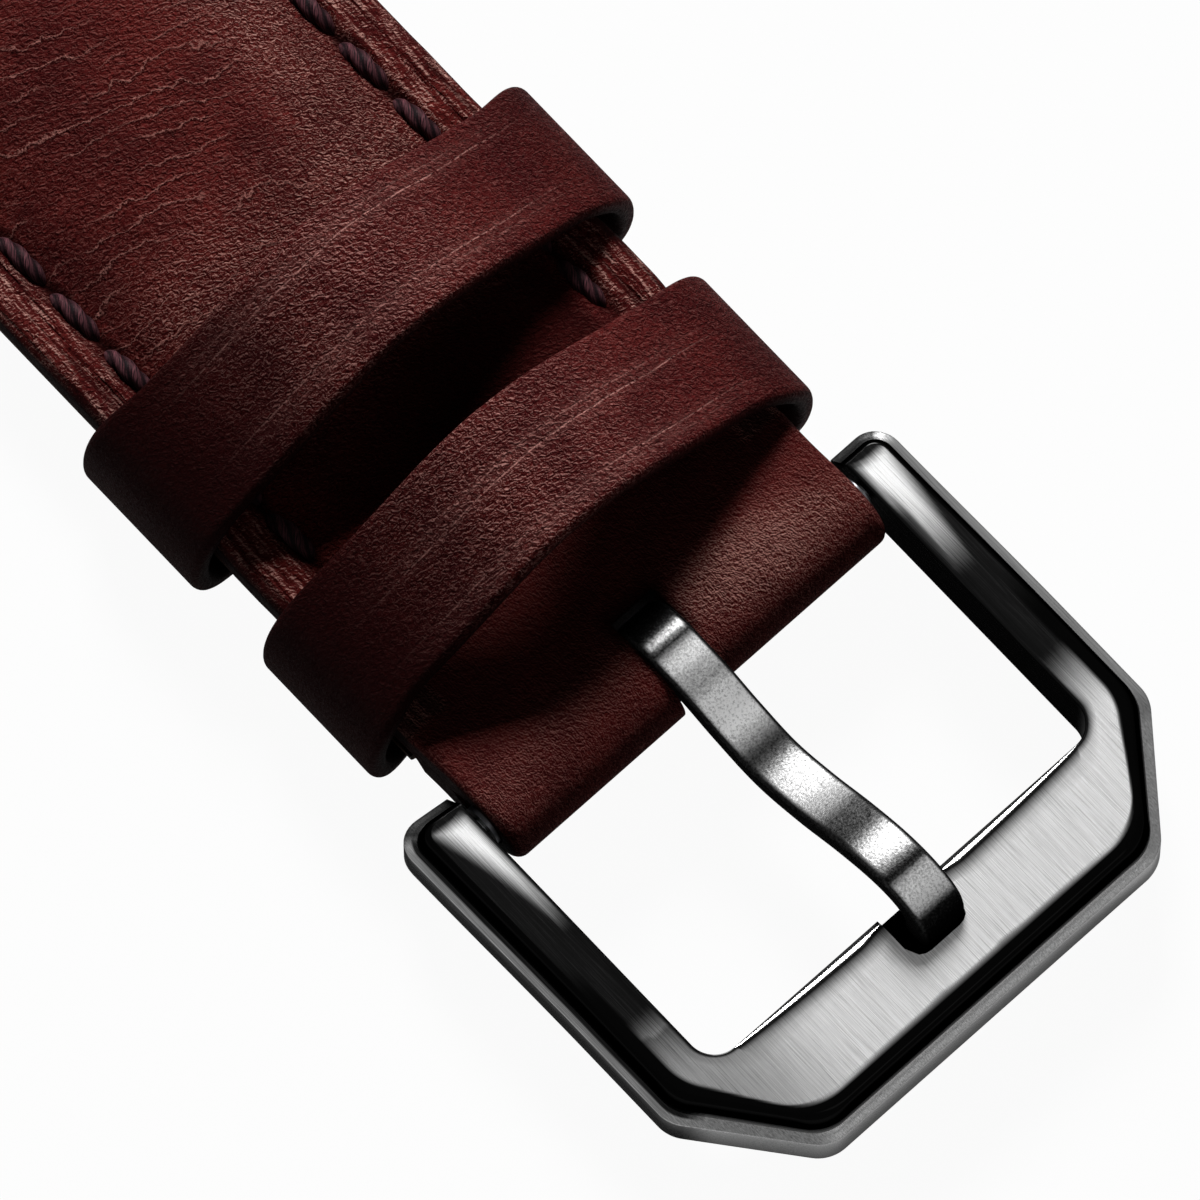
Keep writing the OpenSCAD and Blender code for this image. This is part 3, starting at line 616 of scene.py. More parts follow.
lug_out, lug_in = turned_end(lug_tab)
bar_out, bar_in = turned_end(buckle_tab, n_tab=12)
bar_out, bar_in = bar_out[::-1] * [-1, 1] + [short_len, 0], bar_in[::-1] * [-1, 1] + [short_len, 0]
x_top = np.arange(butt_at + 0.25, short_len - butt_at - 0.1, 0.26)
top_out = np.stack([x_top, short_top(x_top, 0 * x_top)], -1)
line_out = np.concatenate([lug_out, top_out, bar_out])
line_in = np.concatenate([lug_in, np.stack([x_top, np.full(len(x_top), block_t - skin_t + 0.02)], -1), bar_in])
normal = outward(line_out)
first, last = len(lug_out), len(lug_out) + len(x_top)
on_top = np.zeros(len(line_out), bool)
on_top[first:last] = True

u, v = np.meshgrid(np.arange(len(line_out)), v_lines, indexing="ij")
x, d = line_out[u, 0], half_w - np.abs(v)
drop = rim_drop(d, np.where(on_top[u] & (x > butt_at), 0.7, 0.5))
height = np.where(on_top[u], short_top(x, v), line_out[u, 1])
to_bar = short_len - x
broad = 1 + 0.018 * np.exp(-(((to_bar - 13.2) / 2.6) ** 4)) - 0.012 * (1 - smooth(2.0, 6.0, to_bar))
rolled = 1 + 0.11 * smooth(0.0, 0.5, -to_bar)
near = np.stack([short_len + (x - short_len) * rolled - normal[u, 0] * drop, v * broad, height - normal[u, 1] * drop], -1)
near_in = np.stack([line_in[u, 0], v * broad, line_in[u, 1]], -1)
pad_rise = np.clip(1 - (np.abs(v) / 6.0) ** 2.6, 0, 1) * 2.2 * smooth(9, 12.5, x) * (1 - smooth(59, 69, x))
body_z = np.where((x > lug_tab) & (x < short_len - buckle_tab), lining_t + 0.02, block_t - skin_t + 0.02)
near_in[..., 2] = np.where(on_top[u], np.minimum(np.maximum(body_z, lining_t + pad_rise), near[..., 2] - 0.25), near_in[..., 2])
slot_half = 1.18
beside_tang = np.abs((v[:-1, :-1] + v[1:, 1:]) / 2) < slot_half
in_slot = beside_tang & (np.minimum(x[:-1, :-1], x[1:, 1:]) > short_len - 2.5)
points, quads = two_skins(near, near_in, ~in_slot)

gone = np.concatenate([[0], np.cumsum(np.linalg.norm(np.diff(line_out, axis=0), axis=1))])
uv = np.stack([gone[u], np.where(v > 0, d, 40 - d)], -1).reshape(-1, 2) / 1000
margin = (1 - smooth(1.7, 2.2, d)) * on_top[u]
# Painted shade along the seam's groove, and round the slot by the tang; the darkening on the rounded edges is their
# dark edge paint.
in_seam = 0.95 * np.exp(-(((d - seam_in) / 0.27) ** 2)) * on_top[u] * smooth(4, 6, x) * smooth(short_len - 10, short_len - 14, x)
slot_edge = smooth(1.75, 1.2, np.abs(v)) * smooth(-3.4, -2.2, -to_bar) * smooth(0.8, -0.4, -to_bar) * 0.9
worn = np.maximum(np.maximum(smooth(0.28, 0.55, drop), in_seam), slot_edge)
# Painted sheen: faint over the strap behind the free keeper and strongest in a band near the plus y seam, and on the
# crest of the roll at the buckle's bar, strongest at plus y.
bloom = 1.25 * np.exp(-(((v - 5.6) / 2.0) ** 2)) + smooth(27.5, 22.5, to_bar) * smooth(7.6, 5.0, np.abs(v)) * 0.9
bloom = np.clip(bloom + 0.12, 0, 1.3) * smooth(14, 19, to_bar) 
bloom += np.exp(-(((to_bar - 0.9 + 0.01 * v**2) / 1.2) ** 2)) * (0.5 + 3.2 * np.exp(-(((v - 4.8) / 3.0) ** 2)))
# Painted shade on the strap between the keepers, from its middle to the plus y side, where they cast their shadow.
burnished = 0.65 * smooth(16.5, 15.0, to_bar) * smooth(10.8, 11.2, to_bar) * smooth(-4, 1, v) * smooth(7.4, 6.4, v)
creased = smooth(6, 2, v) * smooth(18, 24, to_bar) * on_top[u] * (d > 2.3)
combed = smooth(12, 8, to_bar) * (1 - 0 * v)
short_leather = new_piece(
    "short_top_strip", points, quads, oxblood, "short_half", ["short_top_leather"], "top_leather",
    at=(short_lug[0], 0, strap_z), uv=np.tile(uv, (2, 1)), margin=np.tile(margin.ravel(), 2),
    worn=np.tile(worn.ravel(), 2), creased=np.tile(creased.ravel(), 2), combed=np.tile(combed.ravel(), 2),
    bloom=np.tile(bloom.ravel(), 2), burnished=np.tile(burnished.ravel(), 2))

# %% Top leather of the long half
long_holes = np.linspace(6, tip_base, 31)


def long_top(x, y, d):
    """Top of the long half: the crown fades early, so that the tongue is flat where the holes are."""
    base = margin_t + (block_t - margin_t) * (1 - smooth(7, 10, x))
    dome = (crown_t - base) * crown(x, 14, 46) * np.clip(1 - (np.abs(y) / 7.1) ** 2.6, 0, 1)
    uneven = 0.08 * (rough(x * 0.9 + 31, y * 0.6 + 9, 3) - 0.5) + 0.05 * (rough(x * 0.5, d * 4.5, 5) - 0.5) * (d < 2)
    pressed = 0.13 * np.exp(-(((d - 1.15 - 0.08 * np.sin(x * 0.7)) / 0.13) ** 2)) * smooth(5, 8, x)
    along = np.where(x > tip_base, long_holes[-1] + np.arcsin(np.clip((x - tip_base) / (tip_r - seam_in), 0, 1)) * (tip_r - seam_in), x)
    return base + dome - seam_groove(along, d, np.append(long_holes, long_holes[-1] + 12.4)) + uneven * smooth(2, 6, x) - pressed


def tongue(x_lines, y_lines):
    """Plan of the long half: the lines across it are drawn in to the pointed end's half width."""
    x, v = np.meshgrid(x_lines, y_lines, indexing="ij")
    width = np.where(x > tip_base, half_w - tip_r + np.sqrt(np.maximum(tip_r**2 - (x - tip_base) ** 2, 0)), half_w)
    return x, v * width / half_w


hole_at = long_len - 26 - 6.5 * np.arange(7)
hole_r = 1.49


def ring_round(x, y):
    """Bends the square ring 1.5 mm from each hole's middle into the hole's circle, and eases back to squares at 2.5."""
    nearest = hole_at[np.abs(x[..., None] - hole_at).argmin(-1)]
    dx, dy = x - nearest, y
    square = np.maximum(np.abs(dx), np.abs(dy))
    share = smooth(1.5, 2.5, square)
    r = np.hypot(dx, dy) + 1e-9
    scale = share + (1 - share) * hole_r * (square / 1.5) / r
    bent_x, bent_y = nearest + dx * scale, dy * scale
    inside_ring = square < 2.5
    return np.where(inside_ring, bent_x, x), np.where(inside_ring, bent_y, y)


def holed(x, y):
    """Cells that stay: those whose middle isn't in a hole."""
    mx, my = (x[:-1, :-1] + x[1:, 1:]) / 2, (y[:-1, :-1] + y[1:, 1:]) / 2
    return ~((np.abs(mx[..., None] - hole_at).min(-1) < 1.5) & (np.abs(my) < 1.5))


x_tongue = np.concatenate([np.arange(butt_at + 0.3, 47.4, 0.25), np.arange(47.5, 91.6, 0.25),
                           np.arange(91.75, tip_base, 0.25),
                           tip_base + tip_len * np.sin(np.linspace(0, np.pi / 2, 60))])
y_tongue = v_lines[np.abs(v_lines) > 6.9]
y_tongue = np.unique(np.concatenate([y_tongue, np.arange(-6.5, 6.6, 0.5)]).round(4))
plan_x, plan_y = tongue(x_tongue, y_tongue)
kept = holed(plan_x, plan_y)
bent_x, bent_y = ring_round(plan_x, plan_y)
d = edge_distance(bent_x, bent_y, True)
top_z = long_top(bent_x, bent_y, d) - rim_drop(np.maximum(d, 0), 0.7)
outer_top = np.stack([bent_x, bent_y, top_z], -1)
pad_rise = np.clip(1 - (np.abs(bent_y) / 6.0) ** 2.6, 0, 1) * 2.2 * smooth(9, 12.5, bent_x) * (1 - smooth(16, 44, bent_x))
floor_z = np.where(bent_x > lug_tab, lining_t + 0.02, block_t - skin_t + 0.02)
inner_top = np.stack([bent_x, bent_y, np.minimum(np.maximum(floor_z, lining_t + pad_rise), top_z - 0.25)], -1)

u, v = np.meshgrid(np.arange(len(lug_out)), y_tongue, indexing="ij")
lug_normal = outward(lug_out)
drop = rim_drop(half_w - np.abs(v), 0.5)
outer_lug = np.stack([lug_out[u, 0] - lug_normal[u, 0] * drop, v, lug_out[u, 1] - lug_normal[u, 1] * drop], -1)
inner_lug = np.stack([lug_in[u, 0], v, lug_in[u, 1]], -1)
outer, inner = np.concatenate([outer_lug, outer_top]), np.concatenate([inner_lug, inner_top])
keep = np.concatenate([np.ones((len(lug_out), len(y_tongue) - 1), bool), kept])
points, quads = two_skins(outer, inner, keep)
d_all = np.concatenate([half_w - np.abs(v), d])
top_flag = np.concatenate([np.zeros_like(v), np.ones_like(bent_x)])
along = np.cumsum(np.linalg.norm(np.diff(outer[:, len(y_tongue) // 2], axis=0, prepend=outer[:1, len(y_tongue) // 2]), axis=1))
uv = np.stack([np.broadcast_to(along[:, None], d_all.shape), np.where(outer[..., 1] > 0, d_all, 40 - d_all)], -1)
uv = uv.reshape(-1, 2) / 1000
margin = ((1 - smooth(1.7, 2.2, d_all)) * top_flag).ravel()
long_leather = new_piece(
    "long_top_strip", points, quads, oxblood, "long_half", ["long_top_leather"], "top_leather",
    at=(long_lug[0], 0, 0), turned=True, uv=np.tile(uv, (2, 1)), margin=np.tile(margin, 2),
    worn=np.tile(smooth(0.3, 0.0, d_all).ravel(), 2), creased=np.tile((0.6 * top_flag * (d_all > 2.3)).ravel(), 2))

# %% [markdown]
# ## Linings and padding
#
# Under each half lies a lining of softer leather, pressed in along the seams, and between the two leathers a strip
# of felt makes the crown. The felt never shows, but it is there, in the space that the crown leaves for it.


# %% Linings
def lining(x_lines, y_lines, pointed, holes):
    """A sheet from lining_t down to 0, with rounded lower edges and the lower groove of the seam."""
    x, y = tongue(x_lines, y_lines) if pointed else np.meshgrid(x_lines, y_lines, indexing="ij")
    keep = holed(x, y) if pointed else None
    if pointed:
        x, y = ring_round(x, y)
    d = edge_distance(x, y, pointed)
    low = rim_drop(np.maximum(d, 0), 0.6) + seam_groove(np.minimum(x, holes[-1]), d, holes) * 1.2
    top = np.stack([x, y, np.full_like(x, lining_t)], -1)
    bottom = np.stack([x, y, np.minimum(low, lining_t - 0.1)], -1)
    points, quads = two_skins(top, bottom, keep)
    uv = np.stack([x, np.where(y > 0, d, 40 - d)], -1).reshape(-1, 2) / 1000
    return points, quads, np.tile(uv, (2, 1)), np.tile(smooth(1.7, 2.2, d).ravel(), 2), np.tile(smooth(0.4, 0.1, d).ravel(), 2)


points, quads, uv, inner, worn = lining(np.arange(butt_at, short_len - butt_at + 0.01, 0.3), v_lines, False, short_holes)
short_lining = new_piece("short_lining_sheet", points, quads, lining_leather, "short_half", ["short_lining"],
                         "lining_leather", at=(short_lug[0], 0, strap_z), uv=uv, margin=1 - inner, worn=worn)
x_lining = np.concatenate([[butt_at], x_tongue[x_tongue > butt_at]])
points, quads, uv, inner, worn = lining(x_lining, y_tongue, True, long_holes)
long_lining = new_piece("long_lining_sheet", points, quads, lining_leather, "long_half", ["long_lining"],
                        "lining_leather", at=(long_lug[0], 0, 0), turned=True, uv=uv, margin=1 - inner, worn=worn)


# %% Padding
def padding(x_lines, rise):
    """A domed strip 12 mm wide: a flat bottom, and a top that rises by the crown's power curve."""
    x, y = np.meshgrid(x_lines, np.linspace(-6, 6, 41), indexing="ij")
    top = lining_t + 0.03 + np.maximum(2.15 * rise(x) * (1 - (np.abs(y) / 6) ** 2.6), 0.02)
    return two_skins(np.stack([x, y, top], -1), np.stack([x, y, np.full_like(x, lining_t + 0.03)], -1))


points, quads = padding(np.linspace(9, 69, 120), lambda x: smooth(9, 12.5, x) * (1 - smooth(59, 69, x)))
short_pad = new_piece("short_pad", points, quads, felt, "short_half", ["short_filler"], "padding",
                      at=(short_lug[0], 0, strap_z))
points, quads = padding(np.linspace(9, 44, 80), lambda x: smooth(9, 12.5, x) * (1 - smooth(16, 44, x)))
long_pad = new_piece("long_pad", points, quads, felt, "long_half", ["long_filler"], "padding",
                     at=(long_lug[0], 0, 0), turned=True)

# %% [markdown]
# ## Stitches
#
# Each stitch is a short length of three-ply thread that comes up through one hole, lies in the groove and goes down
# through the next. All stitches of a half are one array: the first direction counts stitches, the second runs along
# a stitch and the third goes round it. The three plies are a wave in its radius that turns on the way.


# %% Stitches of a half
def stitches(starts, ends, z, n_along, n_round, up=1.0):
    """Tubes between pairs of holes: the middle line is an arch, the radius swells from the holes and has three lobes
    that turn once and a quarter along the stitch."""
    t = np.linspace(0, 1, n_along)[None, :, None]
    a = np.linspace(0, 2 * np.pi, n_round, endpoint=False)[None, None, :]
    run = (ends - starts)[:, None, None, :]
    length = np.linalg.norm(run, axis=-1)
    forward = run / length[..., None]
    sideways = np.stack([-forward[..., 1], forward[..., 0]], -1)
    place_t = 0.5 + (t - 0.5) * 0.86
    swell = np.sqrt(np.clip(1 - np.abs(2 * t - 1) ** 2.6, 0.02, 1))
    ply = np.abs(np.cos(1.5 * (a - 2 * np.pi * 0.9 * t)))
    r = thread_r * 1.12 * swell * (0.76 + 0.3 * ply)
    slant = 0.16 * (t - 0.5)
    middle = starts[:, None, None, :] + run * place_t[..., None] + sideways * slant[..., None]
    flat = middle + sideways * (r * np.cos(a))[..., None]
    arch = z[:, None, None] + up * (-0.42 * np.abs(2 * t - 1) ** 2.5)
    height = arch + r * np.sin(a)
    shape = (len(starts), n_along, n_round)
    points = np.stack([np.broadcast_to(flat[..., 0], shape), np.broadcast_to(flat[..., 1], shape),
                       np.broadcast_to(height, shape)], -1)
    one = grid_faces(n_along, n_round, round_columns=True)[:, ::-1]
    quads = (one[None] + (np.arange(len(starts)) * n_along * n_round)[:, None, None]).reshape(-1, 4)
    ids = np.arange(len(starts))[:, None] * n_along * n_round
    ring = np.arange(n_round)
    pairs = np.arange(n_round // 2 - 1)
    cap = np.stack([ring[pairs], ring[pairs + 1], ring[-pairs - 2], ring[-pairs - 1]], -1)
    near_cap = (ids[..., None] + cap[None]).reshape(-1, 4)
    far_cap = (ids[..., None] + (n_along - 1) * n_round + cap[None, :, ::-1]).reshape(-1, 4)
    uv = np.stack([np.broadcast_to(t * length, shape), np.broadcast_to(a * thread_r - t * 2.6, shape)], -1) / 1000
    # Painted shade in the valleys between the plies.
    valley = np.broadcast_to(1 - smooth(0.2, 0.75, ply), shape)
    return points.reshape(-1, 3), np.concatenate([quads, near_cap, far_cap]), uv.reshape(-1, 2), valley.ravel()


def seam(top_holes, z_top, sizes_top, sizes_low):
    """Both sides and both faces of a half's seams, in one set of points."""
    parts = []
    for side in (-1, 1):
        holes = top_holes * [1, side]
        parts.append(stitches(holes[:-1], holes[1:], z_top, *sizes_top))
        parts.append(stitches(holes[:-1], holes[1:], np.full(len(z_top), 0.34), *sizes_low, up=-1.0))
    counts = np.cumsum([0] + [len(part[0]) for part in parts])
    quads = np.concatenate([part[1] + n for part, n in zip(parts, counts)])
    return np.concatenate([part[0] for part in parts]), quads, *(np.concatenate([part[k] for part in parts]) for k in (2, 3))


lift = thread_r - groove_d + 0.1
holes = np.stack([short_holes, np.full(19, half_w - seam_in)], -1)
mids = (short_holes[:-1] + short_holes[1:]) / 2
points, quads, uv, valley = seam(holes, short_margin(mids) + lift, (32, 24), (14, 8))
short_seams = new_piece("short_seams", points, quads, thread, "short_half", ["short_stitches"], "thread",
                        at=(short_lug[0], 0, strap_z), uv=uv, sharp=80, valley=valley)
swing = np.radians(np.linspace(0, math.degrees(math.acos((tip_r - half_w) / (tip_r - seam_in))), 5))[1:]
curve = np.stack([tip_base + (tip_r - seam_in) * np.sin(swing), half_w - tip_r + (tip_r - seam_in) * np.cos(swing)], -1)
holes = np.concatenate([np.stack([long_holes, np.full(31, half_w - seam_in)], -1), curve])
z_long = np.where(holes[:-1, 0] < 8, block_t, margin_t) + lift
points, quads, uv, valley = seam(holes, z_long, (16, 12), (8, 6))
long_seams = new_piece("long_seams", points, quads, thread, "long_half", ["long_stitches"], "thread",
                       at=(long_lug[0], 0, 0), turned=True, uv=uv, sharp=80, valley=valley)

# %% [markdown]
# ## Keepers
#
# A keeper is a strip of leather bent into a loop that is wider than the strap and arched over it. Its outside is a
# smooth closed curve through a few points, and a rounded strip is carried along it. The grid's first direction
# follows the loop, the second goes round the strip.


# %% Keeper
def closed_curve(points, steps):
    """A closed Catmull-Rom curve: each span is a cubic through its two ends, set by the two points beyond them."""
    p, q, r, s = (np.roll(points, k, 0)[:, None] for k in (1, 0, -1, -2))
    t = np.linspace(0, 1, steps, endpoint=False)[None, :, None]
    return (0.5 * (2 * q + (r - p) * t + (2 * p - 5 * q + 4 * r - s) * t**2 + (3 * q - p - 3 * r + s) * t**3)).reshape(-1, 2)


keeper_side, keeper_top, keeper_widest, keeper_belly = 11.66, 12.05, 3.2, 1.7


def keeper_loop(run):
    """Outside of a keeper's loop, as (across, up): arched on top, full at the sides, hollow underneath."""
    rise = keeper_top - keeper_widest
    up = np.array([1, 0.97, 0.84, 0.695, 0.57, 0.445, 0.255]) * rise + keeper_widest
    half = np.stack([np.array([0, 0.17, 0.36, 0.53, 0.7, 0.87, 0.975, 1, 0.985, 0.915, 0.78, 0.56, 0.32, 0]) * keeper_side,
                     np.concatenate([up, [keeper_widest, keeper_belly, 0.45, 0, 0.4 * run, run, run]])], -1)
    loop = spread(closed_curve(np.concatenate([half, half[-2:0:-1] * [-1, 1]]), 9)[np.r_[0:234, 0]], 261)[:-1]
    waves = np.fft.fft(loop[:, 0] + 1j * loop[:, 1]) * np.exp(-((np.fft.fftfreq(260) * 260 / 15.0) ** 2))
    eased = np.fft.ifft(waves)
    return np.stack([eased.real, eased.imag], -1)


def keeper(near, run, name, body, node, askew, turn, aside, squeeze, flare, scores):
    """Carries a strip with rounded edges along the loop, its outside on the loop and its inside keeper_t within. It
    flares a little at its ends and lies askew by a slope of its rear edge; scores are the places of its two creases."""
    loop = keeper_loop(run)
    step = np.roll(loop, -1, 0) - np.roll(loop, 1, 0)
    step /= np.linalg.norm(step, axis=1, keepdims=True)
    out = np.stack([-step[:, 1], step[:, 0]], -1)
    r, w = 0.34, keeper_w
    corner = arc(r, 90, 0, 6)
    profile = np.concatenate([
        np.stack([np.linspace(-w / 2 + r, w / 2 - r, 16), np.zeros(16)], -1),
        (corner + [w / 2 - r, -r])[1:],
        (arc(r, 0, -90, 6) + [w / 2 - r, r - keeper_t])[0:],
        np.stack([np.linspace(w / 2 - r, r - w / 2, 8), np.full(8, -keeper_t)], -1)[1:],
        (arc(r, -90, -180, 6) + [r - w / 2, r - keeper_t])[1:],
        (arc(r, 180, 90, 6) + [r - w / 2, -r])[:-1]])
    gone = np.concatenate([[0], np.cumsum(np.linalg.norm(np.diff(loop, axis=0), axis=1))])
    s = gone[:, None]
    px, depth = profile[None, :, 0], profile[None, :, 1]
    wave = 0.06 * (rough(s * 0.12, 0 * s + near, 11) - 0.5)
    ends = smooth(8.5, 11.5, np.abs(loop[:, None, 0]))
    depth = depth * (1 - 0.2 * smooth(8.0, 10.5, np.abs(loop[:, None, 0])))
    along_x = bar[0] - near - w / 2 + px + wave + askew * loop[:, None, 0] * (0.5 - px / w) + turn * loop[:, None, 0]
    front, rear = np.where(loop[:, None, 0] < 0, flare[0], flare[1]), np.where(loop[:, None, 0] < 0, flare[2], flare[3])
    along_x += ends * (front * (px / w + 0.5) - rear * (0.5 - px / w))
    points = np.stack([along_x, aside + squeeze * loop[:, None, 0] + out[:, None, 0] * depth, loop[:, None, 1] + out[:, None, 1] * depth], -1)
    n, m = points.shape[:2]
    quads = grid_faces(n, m, round_rows=True, round_columns=True)
    uv = np.stack([np.broadcast_to(s, (n, m)), np.broadcast_to(px + 0 * s, (n, m))], -1).reshape(-1, 2) / 1000
    painted = smooth(0.2, 0.5, -depth + 0 * s) * 0.8
    top_middle = smooth(10.5, 5.0, np.abs(loop[:, None, 0])) * (loop[:, None, 1] > 4) * (1 - smooth(0.1, 0.3, -depth)) + 0 * px
    across = loop[:, None, 0] + 0 * px
    # Painted shade towards the ends of the loop: heavy at its minus y end, light at its plus y end.
    burnished = np.maximum(0.93 * smooth(0.5, -9.8, across), 0.35 * smooth(7.5, 11, across))
    # Painted sheen on the top of the loop, from its middle towards minus y.
    bloom = smooth(7.5, -1.0, across) * smooth(-10.5, -3.0, across)
    return new_piece(name, points.reshape(-1, 3), quads, loop_leather, body, [node], "keeper_leather", uv=uv,
                     worn=painted.ravel(), creased=top_middle.ravel(), bloom=bloom.ravel(), burnished=burnished.ravel(), first_score=(px - scores[0] + 0 * s).ravel(),
                     second_score=(px - scores[1] + 0 * s).ravel(), sharp=60)


fixed_at, apart = 4.9, 4.1
fixed_loop = keeper(fixed_at, 1.2, "fixed_loop", "short_half", "fixed_keeper", 0.0, 0.026, 0.06, 0.997, (0.42, 0.42, 0.0, 0.1), (-0.35, 2.0))
free_loop = keeper(fixed_at + keeper_w + apart + 0.05, 1.0, "free_loop", "free_keeper", "free_keeper", 0.02, 0.006, 0.17, 1.0, (0.05, 0.3, 0.35, 0.42), (-1.7, 1.55))

# %% [markdown]
# ## Buckle
#
# The frame is a bent bar of one section: inner wall, flat brushed top, rounded polished edge, steep facet, outer
# wall, bottom. Seen from above its outer and inner outline are two curves that run from one leg's end round to the
# other. So it is lofted: stations follow the outline, rings follow the section, and each ring is the outline drawn
# in by its own distance.


# %% Outline of the frame
def rounded_path(corners, radii, counts, n_arcs):
    """A path through corners, each rounded by an arc that touches both sides; counts are the points on each side and
    n_arcs the points on each arc."""
    corners = np.array(corners, float)
    pieces, start = [], corners[0]
    for k in range(1, len(corners) - 1):
        p, r = corners[k], radii[k - 1]
        a, b = corners[k - 1] - p, corners[k + 1] - p
        a, b = a / np.linalg.norm(a), b / np.linalg.norm(b)
        half = math.acos(np.clip(a @ b, -1, 1)) / 2
        inward = (a + b) / np.linalg.norm(a + b)
        centre = p + inward * r / math.sin(half)
        first, last = p + a * r / math.tan(half), p + b * r / math.tan(half)
        pieces.append(start + (first - start) * np.linspace(0, 1, counts[k - 1])[:, None])
        f, l = first - centre, last - centre
        sweep = math.atan2(f[0] * l[1] - f[1] * l[0], f @ l)
        t = np.linspace(0, 1, n_arcs[k - 1] + 2)[1:-1] * sweep
        pieces.append(centre + np.stack([f[0] * np.cos(t) - f[1] * np.sin(t), f[0] * np.sin(t) + f[1] * np.cos(t)], -1))
        start = last
    pieces.append(start + (corners[-1] - start) * np.linspace(0, 1, counts[-1])[:, None])
    return np.concatenate(pieces)


front_x, frame_half, corner_l, corner_w = 18.8, 12.85, 5.05, 4.05
window_x, window_r, notch_l, notch_half, notch_d = 13.5, 1.2, 2.3, 1.5, 1.2
n_end, n_leg, n_chamfer, n_front, n_turn = 8, 60, 20, 91, 9
before_front = n_end + n_turn + n_leg + n_turn + n_chamfer + n_turn


def even_front(path):
    """Sets the stations of the front bar: the same places across for every ring near the notch, where the two at
    its sides are doubled, and an even spread beyond."""
    run = slice(before_front, before_front + n_front)
    end = path[before_front + n_front - 1, 1]
    core = np.concatenate([np.linspace(-2.8, -notch_half, 6), np.linspace(-notch_half, notch_half, 13),
                           np.linspace(notch_half, 2.8, 6)])
    n = (n_front - len(core)) // 2
    path[run, 1] = np.concatenate([np.linspace(-end, -2.95, n), core, np.linspace(2.95, end, n)])
    return path


def outer_line(inset, rear_r, corner_r):
    """The outer outline, each side moved in by inset and its corners rounded anew, from one inner rear corner round
    to the other."""
    chamfer = math.hypot(corner_l, corner_w)
    a, b = inset * (chamfer - corner_w) / corner_l, inset * (chamfer - corner_l) / corner_w
    x0, x1, x2 = inset - leg_back, front_x - corner_l - a, front_x - inset
    y1, y2 = frame_half - inset, frame_half - corner_w - b
    corners = [(x0, -window_half), (x0, -y1), (x1, -y1), (x2, -y2), (x2, y2), (x1, y1), (x0, y1), (x0, window_half)]
    return even_front(rounded_path(
        corners, [rear_r, corner_r, corner_r, corner_r, corner_r, rear_r],
        [n_end, n_leg, n_chamfer, n_front, n_chamfer, n_leg, n_end], [n_turn] * 6))


def window_line(rear):
    """The window's outline. While the outer line goes round a leg's end, this one waits at the rear corner."""
    path = rounded_path([(rear, -window_half), (window_x, -window_half), (window_x, window_half), (rear, window_half)],
                        [window_r, window_r], [n_leg, n_front, n_leg], [n_chamfer + 2 * n_turn] * 2)
    wait = n_end + n_turn
    return even_front(np.concatenate([np.repeat(path[:1], wait, 0), path, np.repeat(path[-1:], wait, 0)]))


plain = outer_line(0, 1.2, 1.2)
n_stations = len(plain)
print("frame outline:", n_stations, "stations; window:", len(window_line(-leg_back)))

# %% Section of the frame, ring by ring
facet_w, facet_h, band_w, band_h = 0.47, 0.2, 0.4, 1.1
inner_top = window_line(facet_w + band_w - leg_back)
band_edge = outer_line(facet_w + band_w, 0.6, 3.0)
width = np.linalg.norm(band_edge - inner_top, axis=1) + 1e-9
station_y = inner_top[:, 1]
on_front = np.abs(inner_top[:, 0] - window_x) < 1e-6
lens = np.where(on_front, 0.3 * np.clip(1 - (station_y / 9.05) ** 2, 0, 1) ** 0.7, 0) + 0.05
notch_share = notch_l / (front_x - facet_w - band_w - window_x)
shares = np.concatenate([[1], np.linspace(0.97, 0.58, 12), [notch_share + 1e-4, notch_share], np.linspace(0.49, 0.27, 9)])

rings, heights, dark, polish, share_of = [], [], [], [], []


def ring(line, z, darkness, polished, share=np.nan):
    """Adds one ring of the section: its line seen from above, its height, how dark it is painted, as painted reflection
    and shade, and how polished it is.
    """
    rings.append(line)
    heights.append(np.broadcast_to(np.asarray(z, float), n_stations))
    dark.append(np.broadcast_to(np.asarray(darkness, float), n_stations))
    polish.append(np.broadcast_to(np.asarray(polished, float), n_stations))
    share_of.append(np.broadcast_to(np.asarray(share, float), n_stations))


def leg_shade(rear, share, y):
    """How dark the brushed top of a leg is painted, as painted reflection. It is bright behind the leg's rear end; the
    dark comes in from the outer side and takes the whole width by the middle of the leg."""
    from_side = np.where(y < 0, 1.02 - 0.2 * rear + 0.01 * rear**2, 1.12 - 0.1 * rear)
    whole = np.where(y < 0, smooth(2.6, 7.6, rear), smooth(1.6, 7.4, rear))
    inner = np.where(y > 0, 0.97 * smooth(0.5, 0.2, share) * smooth(1.2, 4.2, rear), 0)
    return np.maximum.reduce([smooth(-0.3, 0.25, share - from_side), whole, smooth(1.75, 1.05, rear), inner])


def top_shade(line, share):
    """How dark the brushed top is painted, as painted reflection: as leg_shade says on the legs, and plain on the front
    bar, darker at its left.
    """
    x, y = line.T
    on_leg = 1 - smooth(9.8, 13.6, x)
    return on_leg * leg_shade(x + leg_back, share, y) + (1 - on_leg) * (0.3 + 0.4 * smooth(-5.0, -10.5, y) * (x > 11))


foot = window_line(facet_w - leg_back)
